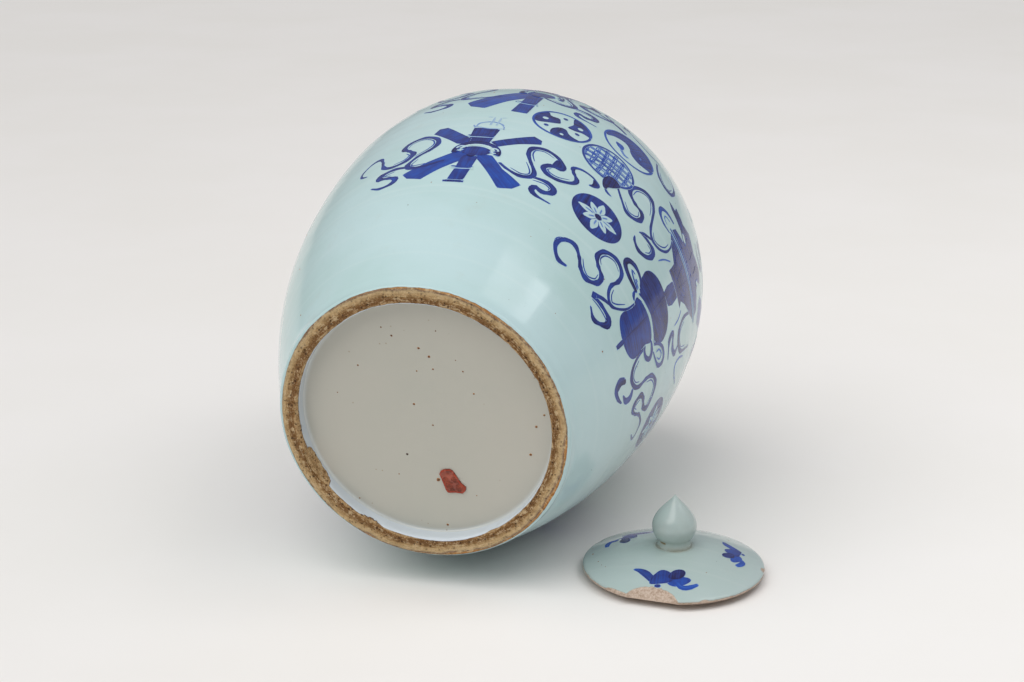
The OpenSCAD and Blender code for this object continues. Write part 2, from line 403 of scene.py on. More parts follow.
class Brushwork:
    """Strokes and washes of cobalt on one surface, gathered into one mesh of closed shapes.
    shift, size and pivot move a motif: a place p is painted at pivot + (p - pivot) * size + shift.
    laid lists the shapes already on that surface, as (outline, tone), so that soft edges match what is under
    them."""

    def __init__(self, surface, grid, laid, seed, shift=(0, 0), size=(1, 1), pivot=(0, 0)):
        self.surface, self.grid, self.laid = surface, grid, laid
        self.shift, self.size, self.pivot = Vector(shift), Vector(size), Vector(pivot)
        self.random = random.Random(seed)
        self.points, self.faces, self.tones, self.hairs = [], [], [], []

    def placed(self, place):
        return self.pivot + (Vector(place) - self.pivot) * self.size + self.shift

    def add_point(self, u, v, raised, tone, hair):
        self.points.append(self.surface(u, v, raised))
        self.tones.append(tone)
        self.hairs.append(hair)
        return len(self.points) - 1

    def tones_under(self, places):
        """Tone of the last shape laid over each place, 0 on bare glaze."""
        tones = np.zeros(len(places))
        spots = np.array([(p[0], p[1]) for p in places])
        low, high = spots.min(0), spots.max(0)
        for outline, tone in self.laid:
            if (outline.min(0) > high).any() or (outline.max(0) < low).any():
                continue
            tones[depth_inside(spots, outline) > 0] = tone
        return [float(t) for t in tones]

    def stroke(self, places, width, tone=0.95, layer=2, swell=0.5, taper=(0.8, 0.35), curved=True, shift=0.0,
               feather=FEATHER):
        """A brush line through places. It swells at its bends, and taper gives its width at each end.
        shift moves the line sideways by millimetres."""
        places = [self.placed(p) for p in places]
        grid = Vector(self.grid(*places[len(places) // 2]))
        line = smooth_curve(places) if curved else places
        line = evenly([p * grid for p in line], BRUSH_STEP)
        count = len(line)
        salt = self.random.random() * 100
        halves, sides, lengths = brush_profile(line, width, swell, taper, salt)
        lefts = [p + side * (half + feather + shift) for p, side, half in zip(line, sides, halves)]
        rights = [p - side * (half + feather - shift) for p, side, half in zip(line, sides, halves)]
        under = self.tones_under(from_grid(lefts + rights, grid))
        rows = []
        for i, (p, side, half, passed) in enumerate(zip(line, sides, halves, lengths)):
            left, right = under[i], under[count + i]
            edge, core = half + feather, 0.35 * half
            top = [(-edge, right), (-half, tone * EDGE_TONE), (-core, tone * CORE_TONE),
                   (core, tone * CORE_TONE), (half, tone * EDGE_TONE), (edge, left)]
            if i in (0, count - 1):
                top = [(across, right if across < 0 else left) for across, _ in top]
            ring = [(across, level, layer * LAYER) for across, level in top]
            ring += [(edge, left, -SUNK), (-edge, right, -SUNK)]
            row = []
            for across, level, raised in ring:
                u, v = p + side * (across + shift)
                row.append(self.add_point(u / grid.x, v / grid.y, raised, level, (passed, across, salt)))
            rows.append(row)
        inner = [p + side * (half + shift) for p, side, half in zip(line, sides, halves)]
        inner += [p - side * (half - shift) for p, side, half in zip(line, sides, halves)][::-1]
        self.laid.append((np.array(from_grid(inner, grid)), tone))
        for a, b in zip(rows, rows[1:]):
            for j in range(len(a)):
                k = (j + 1) % len(a)
                self.faces.append((a[j], a[k], b[k], b[j]))
        self.faces += [tuple(rows[0]), tuple(reversed(rows[-1]))]

    def line(self, places, width, **brush):
        """A stroke of even width."""
        self.stroke(places, width, swell=0, **brush)

    def wash(self, outline, tone=0.75, rim=None, layer=1, curved=True, hairs_along=90, step=WASH_STEP):
        """A filled shape inside an outline of places. rim is the tone where colour has pooled along its edge,
        and hairs_along is the way the brush went, in degrees."""
        rim = tone * 1.15 if rim is None else rim
        places = [self.placed(p) for p in outline]
        middle = sum(places, Vector((0, 0))) / len(places)
        grid = Vector(self.grid(*middle))
        line = [p * grid for p in (smooth_curve(places, closed=True) if curved else places)]
        edge = edge_points(line, curved)
        rings = [inset(edge, FEATHER), inset(edge, FEATHER + 0.9)]
        flat, triangles = filled(edge, rings, step)
        grain = Matrix.Rotation(-math.radians(hairs_along), 2)
        salt = self.random.random() * 100
        under = self.tones_under(from_grid(flat, grid))
        tops, floors = [], []
        for p, depth, beneath in zip(flat, depth_inside(flat, edge), under):
            level = beneath if depth < FEATHER * 0.5 else rim if depth < FEATHER + 0.5 else tone
            along = grain @ p
            hair = (along.x, along.y, salt)
            u, v = p.x / grid.x, p.y / grid.y
            tops.append(self.add_point(u, v, layer * LAYER, level, hair))
            floors.append(self.add_point(u, v, -SUNK, level, hair))
        used = {}
        for t in triangles:
            self.faces.append(tuple(tops[i] for i in t))
            self.faces.append(tuple(floors[i] for i in reversed(t)))
            for a, b in zip(t, t[1:] + t[:1]):
                used[(a, b)] = True
        for a, b in used:
            if (b, a) not in used:
                self.faces.append((tops[b], tops[a], floors[a], floors[b]))
        self.laid.append((np.array(from_grid(rings[0], grid)), tone))

    def patch(self, outline, **colour):
        """A wash with straight sides."""
        self.wash(outline, curved=False, **colour)

    def finish(self, name, body, material, stands_for=()):
        values = {"cobalt": self.tones, "hair": self.hairs}
        return add_piece(name, self.points, self.faces, body, material, stands_for, values)


# ---------------------------------------------------------------- materials

class Nodes:
    """A material with a Principled shader, and short calls that add and join nodes."""

    def __init__(self, name, **shader):
        self.material = bpy.data.materials.new(name)
        self.material.use_nodes = True
        self.tree = self.material.node_tree
        self.shader = next(n for n in self.tree.nodes if n.type == "BSDF_PRINCIPLED")
        for socket, value in shader.items():
            self.shader.inputs[socket.replace("_", " ")].default_value = value
        self.place = self.tree.nodes.new("ShaderNodeTexCoord").outputs["Object"]

    def feed(self, socket, value):
        if isinstance(value, bpy.types.NodeSocket):
            self.tree.links.new(value, socket)
        else:
            socket.default_value = value

    def noise(self, scale, detail=3, roughness=0.55, place=None, distortion=0.0):
        node = self.tree.nodes.new("ShaderNodeTexNoise")
        node.inputs["Scale"].default_value = scale
        node.inputs["Detail"].default_value = detail
        node.inputs["Roughness"].default_value = roughness
        node.inputs["Distortion"].default_value = distortion
        self.feed(node.inputs["Vector"], self.place if place is None else place)
        return node.outputs["Fac"]

    def cells(self, scale, place=None):
        """Distance from the middle of a scattered cell, and a random number for the cell."""
        node = self.tree.nodes.new("ShaderNodeTexVoronoi")
        node.inputs["Scale"].default_value = scale
        self.feed(node.inputs["Vector"], self.place if place is None else place)
        split = self.tree.nodes.new("ShaderNodeSeparateColor")
        self.tree.links.new(node.outputs["Color"], split.inputs[0])
        return node.outputs["Distance"], split.outputs[0]

    def math(self, operation, a, b, clamp=False):
        node = self.tree.nodes.new("ShaderNodeMath")
        node.operation, node.use_clamp = operation, clamp
        self.feed(node.inputs[0], a)
        self.feed(node.inputs[1], b)
        return node.outputs[0]

    def times(self, a, b, clamp=False):
        return self.math("MULTIPLY", a, b, clamp)

    def plus(self, a, b):
        return self.math("ADD", a, b)

    def minus(self, a, b):
        return self.math("SUBTRACT", a, b)

    def frayed(self, value, pattern, amount):
        """value raised or lowered where a pattern is above or below a half."""
        return self.plus(value, self.times(self.minus(pattern, 0.5), amount))

    def dots(self, scale, radius, chance):
        """Scattered dots. radius is where a dot begins and ends to fade, and chance which cells have one."""
        distance, lot = self.cells(scale)
        return self.times(self.span(distance, *radius, 1, 0), self.span(lot, *chance))

    def span(self, value, low, high, to_low=0.0, to_high=1.0):
        """value carried smoothly from low..high to to_low..to_high."""
        node = self.tree.nodes.new("ShaderNodeMapRange")
        node.interpolation_type = "SMOOTHSTEP"
        for socket, number in zip(node.inputs[:5], (value, low, high, to_low, to_high)):
            self.feed(socket, number)
        return node.outputs[0]

    def mix(self, amount, a, b, blend="MIX"):
        node = self.tree.nodes.new("ShaderNodeMix")
        node.data_type, node.blend_type = "RGBA", blend
        self.feed(node.inputs[0], amount)
        self.feed(node.inputs[6], a)
        self.feed(node.inputs[7], b)
        return node.outputs[2]

    def ramp(self, value, *stops):
        """Colours at positions along value."""
        node = self.tree.nodes.new("ShaderNodeValToRGB")
        self.feed(node.inputs[0], value)
        points = node.color_ramp.elements
        points[0].position, points[0].color = stops[0][0], stops[0][1]
        points[1].position, points[1].color = stops[-1][0], stops[-1][1]
        for position, colour in stops[1:-1]:
            points.new(position).color = colour
        return node.outputs[0]

    def attribute(self, name):
        node = self.tree.nodes.new("ShaderNodeAttribute")
        node.attribute_name = name
        return node.outputs["Fac"]

    def attribute_vector(self, name, stretch):
        node = self.tree.nodes.new("ShaderNodeAttribute")
        node.attribute_name = name
        scaled = self.tree.nodes.new("ShaderNodeVectorMath")
        scaled.operation = "MULTIPLY"
        self.tree.links.new(node.outputs["Vector"], scaled.inputs[0])
        scaled.inputs[1].default_value = stretch
        return scaled.outputs[0]

    def along_jar(self):
        """Height along the jar's axis in metres, for marks that run round the jar."""
        node = self.tree.nodes.new("ShaderNodeVectorMath")
        node.operation = "DOT_PRODUCT"
        self.tree.links.new(self.place, node.inputs[0])
        node.inputs[1].default_value = JAR_AXIS
        return self.minus(node.outputs["Value"], FOOT.dot(JAR_AXIS))

    def bump(self, height, distance, strength=1.0):
        node = self.tree.nodes.new("ShaderNodeBump")
        node.inputs["Distance"].default_value = distance
        node.inputs["Strength"].default_value = strength
        self.feed(node.inputs["Height"], height)
        self.tree.links.new(node.outputs[0], self.shader.inputs["Normal"])

    def colour(self, value):
        self.feed(self.shader.inputs["Base Color"], value)

    def roughness(self, value):
        self.feed(self.shader.inputs["Roughness"], value)


def paint(red, green, blue):
    """A colour given as it looks on screen, 0 to 255."""
    return tuple(((c / 255 + 0.055) / 1.055) ** 2.4 if c > 10 else c / 3294
                 for c in (red, green, blue)) + (1.0,)


PALE_GLAZE = paint(185, 209, 211)
GREEN_GLAZE = paint(173, 200, 198)
GREY_GLAZE = paint(178, 191, 186)
RING_GLAZE = paint(198, 216, 215)
IRON = paint(84, 66, 44)
JAR_TINT = paint(255, 255, 255)
# Painted shade: the lid's glaze is darkened and greyed all over for the shade of the jar beside it
LID_SHADE_TINT = paint(242, 232, 228)


def celadon(n, tint):
    """Colour of the pale glaze. Bare and painted pieces share it, so brushwork fades into it without a step.
    Faint rings from the potter's wheel show through it. tint darkens it: on the lid it is painted shade, the
    whole lid made darker and greyer for the shade of the jar beside it."""
    cloud = n.noise(9, detail=3, distortion=0.4)
    body = n.mix(n.span(cloud, 0.3, 0.7), GREEN_GLAZE, PALE_GLAZE)
    worn = n.noise(38, detail=5, roughness=0.7)
    body = n.mix(n.span(worn, 0.56, 0.8, 0, 0.35), body, GREY_GLAZE)
    rings = n.noise(80, detail=3, roughness=0.6, place=n.along_jar())
    body = n.mix(n.span(rings, 0.5, 0.7, 0, 0.3), body, RING_GLAZE)
    speck = n.dots(95, (0.028, 0.05), (0.86, 0.88))
    return n.mix(1.0, n.mix(n.times(speck, 0.75), body, IRON), tint, "MULTIPLY")


def glaze_skin(n):
    """Gloss of the glaze: orange-peel ripple, fine pinholes and rubbed, duller patches."""
    peel = n.noise(150, detail=2)
    swell = n.noise(26, detail=1)
    hole = n.dots(420, (0.1, 0.24), (0.86, 0.9))
    height = n.plus(n.times(peel, 0.35), n.times(swell, 1.6))
    n.bump(n.minus(height, n.times(hole, 0.3)), 0.0004, 0.5)
    n.roughness(n.span(n.noise(17, detail=5, roughness=0.65), 0.35, 0.75, 0.11, 0.26))


def bare_glaze():
    n = Nodes("celadon_glaze", IOR=1.45, Coat_Weight=0.1, Coat_Roughness=0.08)
    n.colour(celadon(n, JAR_TINT))
    glaze_skin(n)
    return n.material


def painted_glaze(name, tint):
    """Cobalt under the glaze. The attribute cobalt is how much colour lies there, and hair is the distance
    along and across the brush."""
    n = Nodes(name, IOR=1.45, Coat_Weight=0.1, Coat_Roughness=0.08)
    streaks = n.noise(1.0, detail=3, roughness=0.6, place=n.attribute_vector("hair", (0.035, 0.75, 1.0)))
    pools = n.noise(120, detail=3)
    cobalt = n.attribute("cobalt")
    strength = n.plus(0.54, n.times(streaks, 0.7))
    strength = n.frayed(strength, pools, 0.5)
    amount = n.times(cobalt, strength, clamp=True)
    blue = n.ramp(
        amount,
        (0.0, paint(146, 178, 214)),
        (0.3, paint(84, 118, 188)),
        (0.55, paint(38, 78, 166)),
        (0.8, paint(42, 54, 122)),
        (1.0, paint(34, 31, 72)),
    )
    n.colour(n.mix(n.span(amount, 0.02, 0.42), celadon(n, tint), blue))
    glaze_skin(n)
    return n.material


def foot_biscuit():
    """Bare clay, burnt brown and rubbed pale in bands. across runs from the inner edge of the foot's face, 0,
    to its outer edge, 1. glazed is 1 where glaze covers the clay. groove runs slowly round the ring and
    quickly across it."""
    n = Nodes("foot_biscuit", IOR=1.45, Specular_IOR_Level=0.3)
    broad = n.noise(34, detail=4, roughness=0.6)
    coarse = n.noise(300, detail=5, roughness=0.7)
    fine = n.noise(900, detail=4, roughness=0.8)
    across = n.attribute("across")
    grooves = n.noise(1.0, detail=5, roughness=0.7, place=n.attribute_vector("groove", (1, 1, 1)))
    coarse = n.minus(n.times(n.plus(coarse, grooves), 0.75), 0.25)
    strayed = n.frayed(across, broad, 0.7)
    banded = n.ramp(
        strayed,
        (0.06, paint(186, 150, 104)),
        (0.14, paint(142, 102, 58)),
        (0.28, paint(128, 90, 52)),
        (0.4, paint(152, 116, 72)),
        (0.53, paint(196, 162, 114)),
        (0.7, paint(208, 180, 136)),
        (0.8, paint(138, 112, 92)),
        (0.87, paint(192, 144, 90)),
        (0.94, paint(188, 124, 62)),
    )
    rubbed = n.mix(n.span(coarse, 0.52, 0.62, 0, 0.8), banded, paint(218, 192, 150))
    inner_half = n.span(across, 0.38, 0.7, 1.0, 0.45)
    burnt = n.mix(n.times(n.span(coarse, 0.48, 0.38, 0, 0.55), inner_half), rubbed, paint(98, 66, 36))
    clay = n.mix(n.times(n.span(fine, 0.47, 0.36, 0, 0.65), inner_half), burnt, paint(70, 44, 22))
    clay = n.mix(n.span(fine, 0.55, 0.66, 0, 0.5), clay, paint(220, 196, 156))
    grit = n.dots(520, (0.2, 0.4), (0.6, 0.7))
    clay = n.mix(n.times(n.times(grit, 0.75), inner_half), clay, paint(62, 38, 20))
    ragged = n.frayed(n.attribute("glazed"), coarse, 0.7)
    glazed = n.span(ragged, 0.44, 0.54)
    scorched = n.span(ragged, 0.22, 0.44)
    clay = n.mix(n.times(scorched, 0.7), clay, paint(104, 86, 88))
    glaze = n.mix(n.span(across, 0.2, 0.4), paint(204, 212, 218), celadon(n, JAR_TINT))
    n.colour(n.mix(glazed, clay, glaze))
    n.roughness(n.span(glazed, 0, 1, 0.78, 0.15))
    relief = n.minus(n.plus(coarse, n.times(fine, 0.9)), grit)
    n.bump(n.times(relief, n.minus(1.0, glazed)), 0.0012, 0.9)
    return n.material


def base_glaze():
    """The greyish glaze inside the foot, with pinholes and iron spots. Where glaze pools at its edge it is
    painted paler and bluer, partly the glaze's own colour and partly a painted highlight.
    """
    n = Nodes("base_glaze", IOR=1.5, Coat_Weight=0.15, Coat_Roughness=0.1)
    cloud = n.noise(9, detail=3, distortion=0.3)
    body = n.ramp(cloud, (0.3, paint(181, 181, 170)), (0.7, paint(187, 184, 173)))
    haze = n.noise(45, detail=5, roughness=0.7)
    body = n.mix(n.span(haze, 0.5, 0.8, 0, 0.08), body, paint(174, 180, 170))
    # Pooled glaze round the base's edge, painted paler and bluer: partly the glaze's own colour, partly a
    # painted highlight
    body = n.mix(n.span(n.attribute("pool_and_highlight"), 0.15, 1.0, 0, 0.7), body, paint(206, 212, 212))
    for scale, radius, keep, strength, stain in (
        (260, 0.09, 0.94, 0.5, paint(150, 128, 100)),
        (130, 0.05, 0.95, 0.8, paint(132, 96, 58)),
    ):
        spot = n.dots(scale, (radius, radius * 2), (keep, keep + 0.01))
        body = n.mix(n.times(spot, strength), body, stain)
    n.colour(body)
    peel = n.noise(130, detail=3)
    n.bump(n.plus(peel, n.noise(30, detail=1)), 0.0004, 0.5)
    n.roughness(n.span(haze, 0.3, 0.8, 0.2, 0.27))
    return n.material


def chipped_glaze(name, tint):
    """Glaze with clay showing where the attribute clay says it has chipped off, and dirt where the attribute
    dirt says it has gathered."""
    n = Nodes(name, IOR=1.5, Coat_Weight=0.2, Coat_Roughness=0.08)
    fine = n.noise(600, detail=4, roughness=0.75)
    coarse = n.noise(160, detail=4, roughness=0.7)
    ragged = n.frayed(n.attribute("clay"), coarse, 0.7)
    bare = n.span(ragged, 0.46, 0.54)
    edge = n.times(n.span(ragged, 0.34, 0.5), n.minus(1.0, bare))
    clay = n.ramp(fine, (0.34, paint(150, 126, 106)), (0.48, paint(180, 158, 140)),
                  (0.66, paint(202, 184, 168)))
    grime = n.times(n.attribute("dirt"), n.span(coarse, 0.3, 0.62, 0.35, 1.0))
    glaze = n.mix(n.times(grime, 0.55), celadon(n, tint), paint(128, 112, 80))
    glaze = n.mix(n.times(edge, 0.75), glaze, paint(122, 92, 62))
    n.colour(n.mix(bare, glaze, clay))
    n.roughness(n.span(n.math("MAXIMUM", bare, grime), 0, 1, 0.15, 0.8))
    peel = n.times(n.noise(150, detail=2), 0.4)
    n.bump(n.plus(peel, n.times(n.times(fine, 1.6), bare)), 0.0005, 0.6)
    return n.material


def seal_wax():
    n = Nodes("seal_wax", IOR=1.45, Specular_IOR_Level=0.4)
    coarse = n.noise(210, detail=5, roughness=0.7)
    distance, _ = n.cells(360)
    crack = n.span(distance, 0.52, 0.72)
    body = n.ramp(coarse, (0.34, paint(98, 46, 34)), (0.5, paint(138, 64, 46)), (0.64, paint(164, 84, 62)))
    body = n.mix(n.span(n.attribute("cobalt"), 0.3, 0.9, 0, 0.7), body, paint(178, 60, 38))
    n.colour(n.mix(n.times(crack, 0.3), body, paint(184, 112, 98)))
    n.roughness(n.span(coarse, 0.3, 0.7, 0.55, 0.8))
    n.bump(n.plus(coarse, crack), 0.0006, 0.8)
    return n.material


def iron_speck():
    n = Nodes("iron_speck", IOR=1.5)
    ragged = n.frayed(n.attribute("core"), n.noise(900, detail=2), 0.6)
    n.colour(n.ramp(ragged, (0.2, paint(186, 156, 112)), (0.5, paint(160, 98, 40)),
                    (0.85, paint(62, 44, 30))))
    n.roughness(n.span(n.noise(400), 0.3, 0.7, 0.3, 0.55))
    n.bump(n.noise(1500, detail=2), 0.0002, 0.5)
    return n.material


def floor_surface():
    n = Nodes("pale_floor", Roughness=0.85, Specular_IOR_Level=0.2)
    n.colour(n.mix(n.span(n.noise(3, detail=4), 0.35, 0.65), paint(233, 230, 226), paint(235, 232, 229)))
    return n.material


GLAZE = bare_glaze()
PAINTED = painted_glaze("painted_glaze", JAR_TINT)
# The lid's paint is darkened by the lid's tint, which is painted shade
PAINTED_SHADED_LID = painted_glaze("painted_lid_glaze", LID_SHADE_TINT)
BISCUIT = foot_biscuit()
BASE_GLAZE = base_glaze()
NECK_GLAZE = chipped_glaze("neck_glaze", JAR_TINT)
# The lid's glaze is darkened by the lid's tint, which is painted shade
SHADED_LID_GLAZE = chipped_glaze("lid_glaze", LID_SHADE_TINT)
WAX = seal_wax()
SPECK = iron_speck()


# ---------------------------------------------------------------- the jar

def make_wall():
    """The thrown wall from the foot to the neck's seat, outside and inside."""
    shoulder_end = arc(*SHOULDER_ARC, SHOULDER_TO, SHOULDER_TO, 1)[0]
    slope = math.tan(math.pi / 2 - SHOULDER_TO)
    seat_z = shoulder_end[1] + (shoulder_end[0] - SEAT_R) * slope
    outside = arc(*LOWER_ARC, math.asin((FOOT_H - BELLY_Z) / LOWER_CURVE_R), 0, 84)
    outside += arc(*UPPER_ARC, 0, SHOULDER_FROM, 32)[1:]
    outside += arc(*SHOULDER_ARC, SHOULDER_FROM, SHOULDER_TO, 26)[1:]
    slope_end = [(SEAT_R, seat_z), (HOLE_R, seat_z)]
    inner = [(r, z, radius - WALL) for r, z, radius in (SHOULDER_ARC, UPPER_ARC, LOWER_ARC)]
    inside_end = arc(*inner[0], SHOULDER_TO, SHOULDER_TO, 1)[0]
    inside = [(HOLE_R, inside_end[1] + (inside_end[0] - HOLE_R) * slope)]
    inside += arc(*inner[0], SHOULDER_TO, SHOULDER_FROM, 14)
    inside += arc(*inner[1], SHOULDER_FROM, 0, 16)[1:]
    base_top = FOOT_H + BASE_H
    inside += arc(*inner[2], 0, math.asin((base_top - BELLY_Z) / (LOWER_CURVE_R - WALL)), 30)[1:]
    inside += arc(*inner[2], math.asin((FOOT_H - BELLY_Z) / (LOWER_CURVE_R - WALL)), 0, 1)[:1]

    def place(angle, radius, height):
        if radius > jar_outline(height)[0] - WALL / 2:
            return on_jar(angle, radius + hand_thrown(angle, height), height)
        ring = noise.noise(Vector((angle / 720, 7, height / 9)))
        return on_jar(angle, radius + 0.5 * ring if radius > HOLE_R else radius, height)

    points, faces, _ = turned(outside + slope_end + inside, place, segments=288)
    add_piece("jar_wall", points, faces, "jar", GLAZE,
              ("lower_wall", "belly_lower", "belly_upper", "shoulder"))
    return seat_z


def make_neck(seat_z):
    """The short neck, filleted into the shoulder, with its lip wiped bare of glaze."""
    root, top = 4, seat_z + NECK_H
    outline = [(MOUTH_R + 0.6, seat_z - 1.5), (MOUTH_R, seat_z + 1)]
    outline += [(MOUTH_R, seat_z + NECK_H * t / 8) for t in range(1, 7)]
    outline += reversed(arc(MOUTH_R + LIP_R, top - LIP_R, LIP_R, math.pi / 2, math.pi, 6))
    outline += [(MOUTH_R + LIP_R + (NECK_R - MOUTH_R - 2 * LIP_R) * t / 4, top) for t in range(1, 4)]
    outline += reversed(arc(NECK_R - LIP_R, top - LIP_R, LIP_R, 0, math.pi / 2, 6))
    outline += [(NECK_R, top - LIP_R - (NECK_H - LIP_R - root) * t / 5) for t in range(1, 6)]
    outline += arc(NECK_R + root, seat_z + root - 0.7, root, math.pi, 1.5 * math.pi, 8)[1:]
    outline += [(NECK_R + root, seat_z - 2)]

    def place(angle, radius, height):
        worn = noise.noise(round_axis(angle, 3, height / 5))
        near_top = max(0, 1 - (top - height) / 2.5)
        return on_jar(angle, radius + 0.15 * worn, height - max(0, worn) * 0.5 * near_top)

    points, faces, spots = turned(outline, place, segments=192)
    clay = [clip(1.1 - (top - z) / 2.2) for _, _, z in spots]
    dirt = [0.35 if z < seat_z + 1.5 and r > NECK_R else 0.0 for _, r, z in spots]
    add_piece("neck_and_lip", points, faces, "jar", NECK_GLAZE, ("neck",),
              {"clay": clay, "dirt": dirt})


# Chips along the inner edge of the foot: middle angle, half width in degrees, and depth
FOOT_CHIPS = ((-117.5, 10, 3.8), (-152, 6, 1.4), (64, 2, 0.8), (-20, 2.5, 0.6), (150, 3, 0.9))


def chip_depth(angle, chips, raggedness=0.35):
    """How deep chips bite at an angle."""
    depth = 0.0
    for middle, half, deep in chips:
        away = (angle - middle + 180) % 360 - 180
        ragged = 1 + raggedness * noise.noise(Vector((angle / 1.6, middle, 0)))
        if abs(away) < half:
            depth = max(depth, deep * ragged * (1 - (away / half) ** 2) ** 0.6)
    return depth


def groove_place(angle, slow, radius, height):
    """Where the potter's turning grooves are read: slowly round the ring, and quickly across it."""
    return round_axis(angle, slow, (radius - height) / 0.9)


def foot_outline():
    """The foot ring's section: inner wall, flat face with rounded edges, and a side flared to the wall."""
    edge = FOOT_EDGE_R
    outer_top = jar_outline(FOOT_H)[0]
    outline = [(FOOT_BORE_R - 0.2, FOOT_H + 1)]
    outline += [(FOOT_BORE_R, FOOT_H - (FOOT_H - edge) * t / 8) for t in range(0, 8)]
    outline += arc(FOOT_BORE_R + edge, edge, edge, math.pi, 1.5 * math.pi, 6)
    face = FOOT_R - FOOT_BORE_R - 2 * edge
    outline += [(FOOT_BORE_R + edge + face * t / 12, 0) for t in range(1, 12)]
    outline += arc(FOOT_R - edge, edge, edge, 1.5 * math.pi, 2 * math.pi, 6)
    side_h, flare = FOOT_H - edge, 0.46
    start_slope = 2 * (outer_top - FOOT_R) / side_h - flare
    for up in [side_h * t / 8 for t in range(1, 9)]:
        outline.append((FOOT_R + start_slope * up + (flare - start_slope) * up * up / (2 * side_h),
                        edge + up))
    return outline + [(outer_top - 0.4, FOOT_H + 0.6)]


def make_foot():
    """The foot ring: a rough bare face, rounded edges, and a glazed inner wall with chips out of its edge."""
    def place(angle, radius, height):
        spot = round_axis(angle, radius, height)
        rough = noise.fractal(spot / 4.5, 0.9, 2.1, 3)
        pit = max(0, noise.noise(spot / 1.9 + Vector((9, 0, 0))) - 0.32)
        bare = 1 if radius > FOOT_BORE_R + 0.1 and height < FOOT_EDGE_R else 0.1 * max(0, 1 - height / FOOT_H)
        inner = max(0, 1 - (radius - FOOT_BORE_R) / 4) * max(0, 1 - height / 7)
        chip = chip_depth(angle, FOOT_CHIPS) * inner
        low = max(0, 1 - height / FOOT_EDGE_R)
        wave = 0.35 * noise.noise(round_axis(angle) * 2.5)
        thrown = hand_thrown(angle, FOOT_H) * min(1, height / FOOT_H) if radius > FOOT_R - 1 else 0
        radius += chip + bare * 0.16 * rough + wave * max(0, 1 - height / FOOT_H) + thrown
        height += bare * low * (0.28 * rough + 1.2 * pit) + 0.5 * chip * low
        return on_jar(angle, radius, height)

    points, faces, spots = turned(foot_outline(), place, segments=420)
    add_piece("foot_ring_worn", points, faces, "jar", BISCUIT, ("foot_ring",), foot_values(spots),
              sharp=50)


def foot_values(spots):
    """How much glaze lies at each place on the foot ring, how far across the ring it is, and its grooves."""
    glazed, across, groove = [], [], []
    for angle, radius, height in spots:
        a = math.radians(angle)
        drift = noise.noise(round_axis(angle, height=0.2) * 3)
        ovality = math.cos(2 * a)
        if radius < FOOT_BORE_R + FOOT_EDGE_R:
            chipped = 1.6 * chip_depth(angle, FOOT_CHIPS) * max(0, 1 - height / 11)
            by_height = (height - 2.2 + drift) / 2.5
            by_radius = (FOOT_BORE_R + 0.9 + 0.6 * ovality + 0.3 * drift - radius) / 0.6
            level = max(by_height, by_radius) - chipped
        elif radius > FOOT_R - FOOT_EDGE_R:
            level = (radius - FOOT_R + 2.0 - 0.7 * ovality + 0.3 * drift) / 0.7
        else:
            level = 0
        glazed.append(clip(level))
        across.append((radius - FOOT_BORE_R) / (FOOT_R - FOOT_BORE_R) + 0.06 * drift + 0.08 * math.sin(a))
        groove.append(groove_place(angle, 14, radius, height))
    return {"glazed": glazed, "across": across, "groove": groove}


def make_base():
    """The base inside the foot, slightly dished and trimmed, with glaze pooled where it meets the foot. That
    pool is painted paler and bluer, partly as a painted highlight.
    """
    pool_r = 1.2
    outline = [(0, FOOT_H + BASE_DISH)]
    flat_r = FOOT_BORE_R - pool_r
    outline += [(flat_r * t / 44, FOOT_H + BASE_DISH * (1 - (t / 44) ** 2)) for t in range(1, 45)]
    outline += [(flat_r + pool_r * math.sin(t * math.pi / 16),
                 FOOT_H - pool_r * (1 - math.cos(t * math.pi / 16))) for t in range(1, 9)]
    inside_r = jar_outline(FOOT_H + BASE_H)[0] - WALL
    outline += [(FOOT_BORE_R + 1.5, FOOT_H - pool_r + 0.3), (FOOT_BORE_R + 4, FOOT_H + 2)]
    outline += [(inside_r + 0.5, FOOT_H + BASE_H + 1.5), (inside_r - 4, FOOT_H + BASE_H)]
    outline += [(r, FOOT_H + BASE_H + 0.3 * (r % 3)) for r in range(80, 8, -4)]
    outline += [(0, FOOT_H + BASE_H)]

    def place(angle, radius, height):
        trim = noise.noise(Vector((4, 2, radius / 5 + angle / 360)))
        warp = noise.noise(round_axis(angle, radius) / 40)
        fade = min(1, radius / 10)
        return on_jar(angle, radius, height + (0.06 * trim + 0.25 * warp) * fade)

    points, faces, spots = turned(outline, place, segments=216)
    # Where glaze pools round the base's edge; it is painted paler and bluer there, partly as a painted
    # highlight
    pool_and_highlight = [clip((r - flat_r + 2) / (pool_r + 2)) if z < FOOT_H + 3 else 0.0 for _, r, z in spots]
    add_piece("base_glazed", points, faces, "jar", BASE_GLAZE, ("base_disc",), {"pool_and_highlight": pool_and_highlight})


def base_surface(x, y, raised=0.0):
    """A point on the base at x to the right and y down, as it is seen, or raised out of it."""
    flat = FOOT_H + BASE_DISH * (1 - (x * x + y * y) / (FOOT_BORE_R - 3) ** 2)
    return FOOT + (JAR_AXIS * (flat - raised) + ACROSS * x - UPPERMOST * y) * MM


def make_wax():
    """A brittle scrap of red seal wax on the base."""
    def surface(x, y, raised=0.0):
        lumps = noise.fractal(Vector((x, y, 4)) / 3.2, 0.9, 2, 3)
        return base_surface(x, y, 0.75 + 0.28 * lumps if raised > 0 else -0.4)

    wax = Brushwork(surface, lid_grid, [], 5)
    outline = [(-5.2, -8), (-1.6, -8.6), (0.4, -7.6), (3.6, -2.4), (5.6, 0.6), (8.2, 2.8), (7.9, 5), (6, 7.2),
               (1.5, 7), (-3.2, 7.4), (-4.4, 5.6), (-6, 1), (-7, -2), (-8.1, -4.6), (-7, -7)]
    wax.patch([(13.5 + x, 42 + y) for x, y in outline], tone=0.2, rim=1.0, step=1.0)
    wax.finish("seal_wax_scrap", "jar", WAX, ("wax_dab",))


DARK_SPECK_R = 1.32


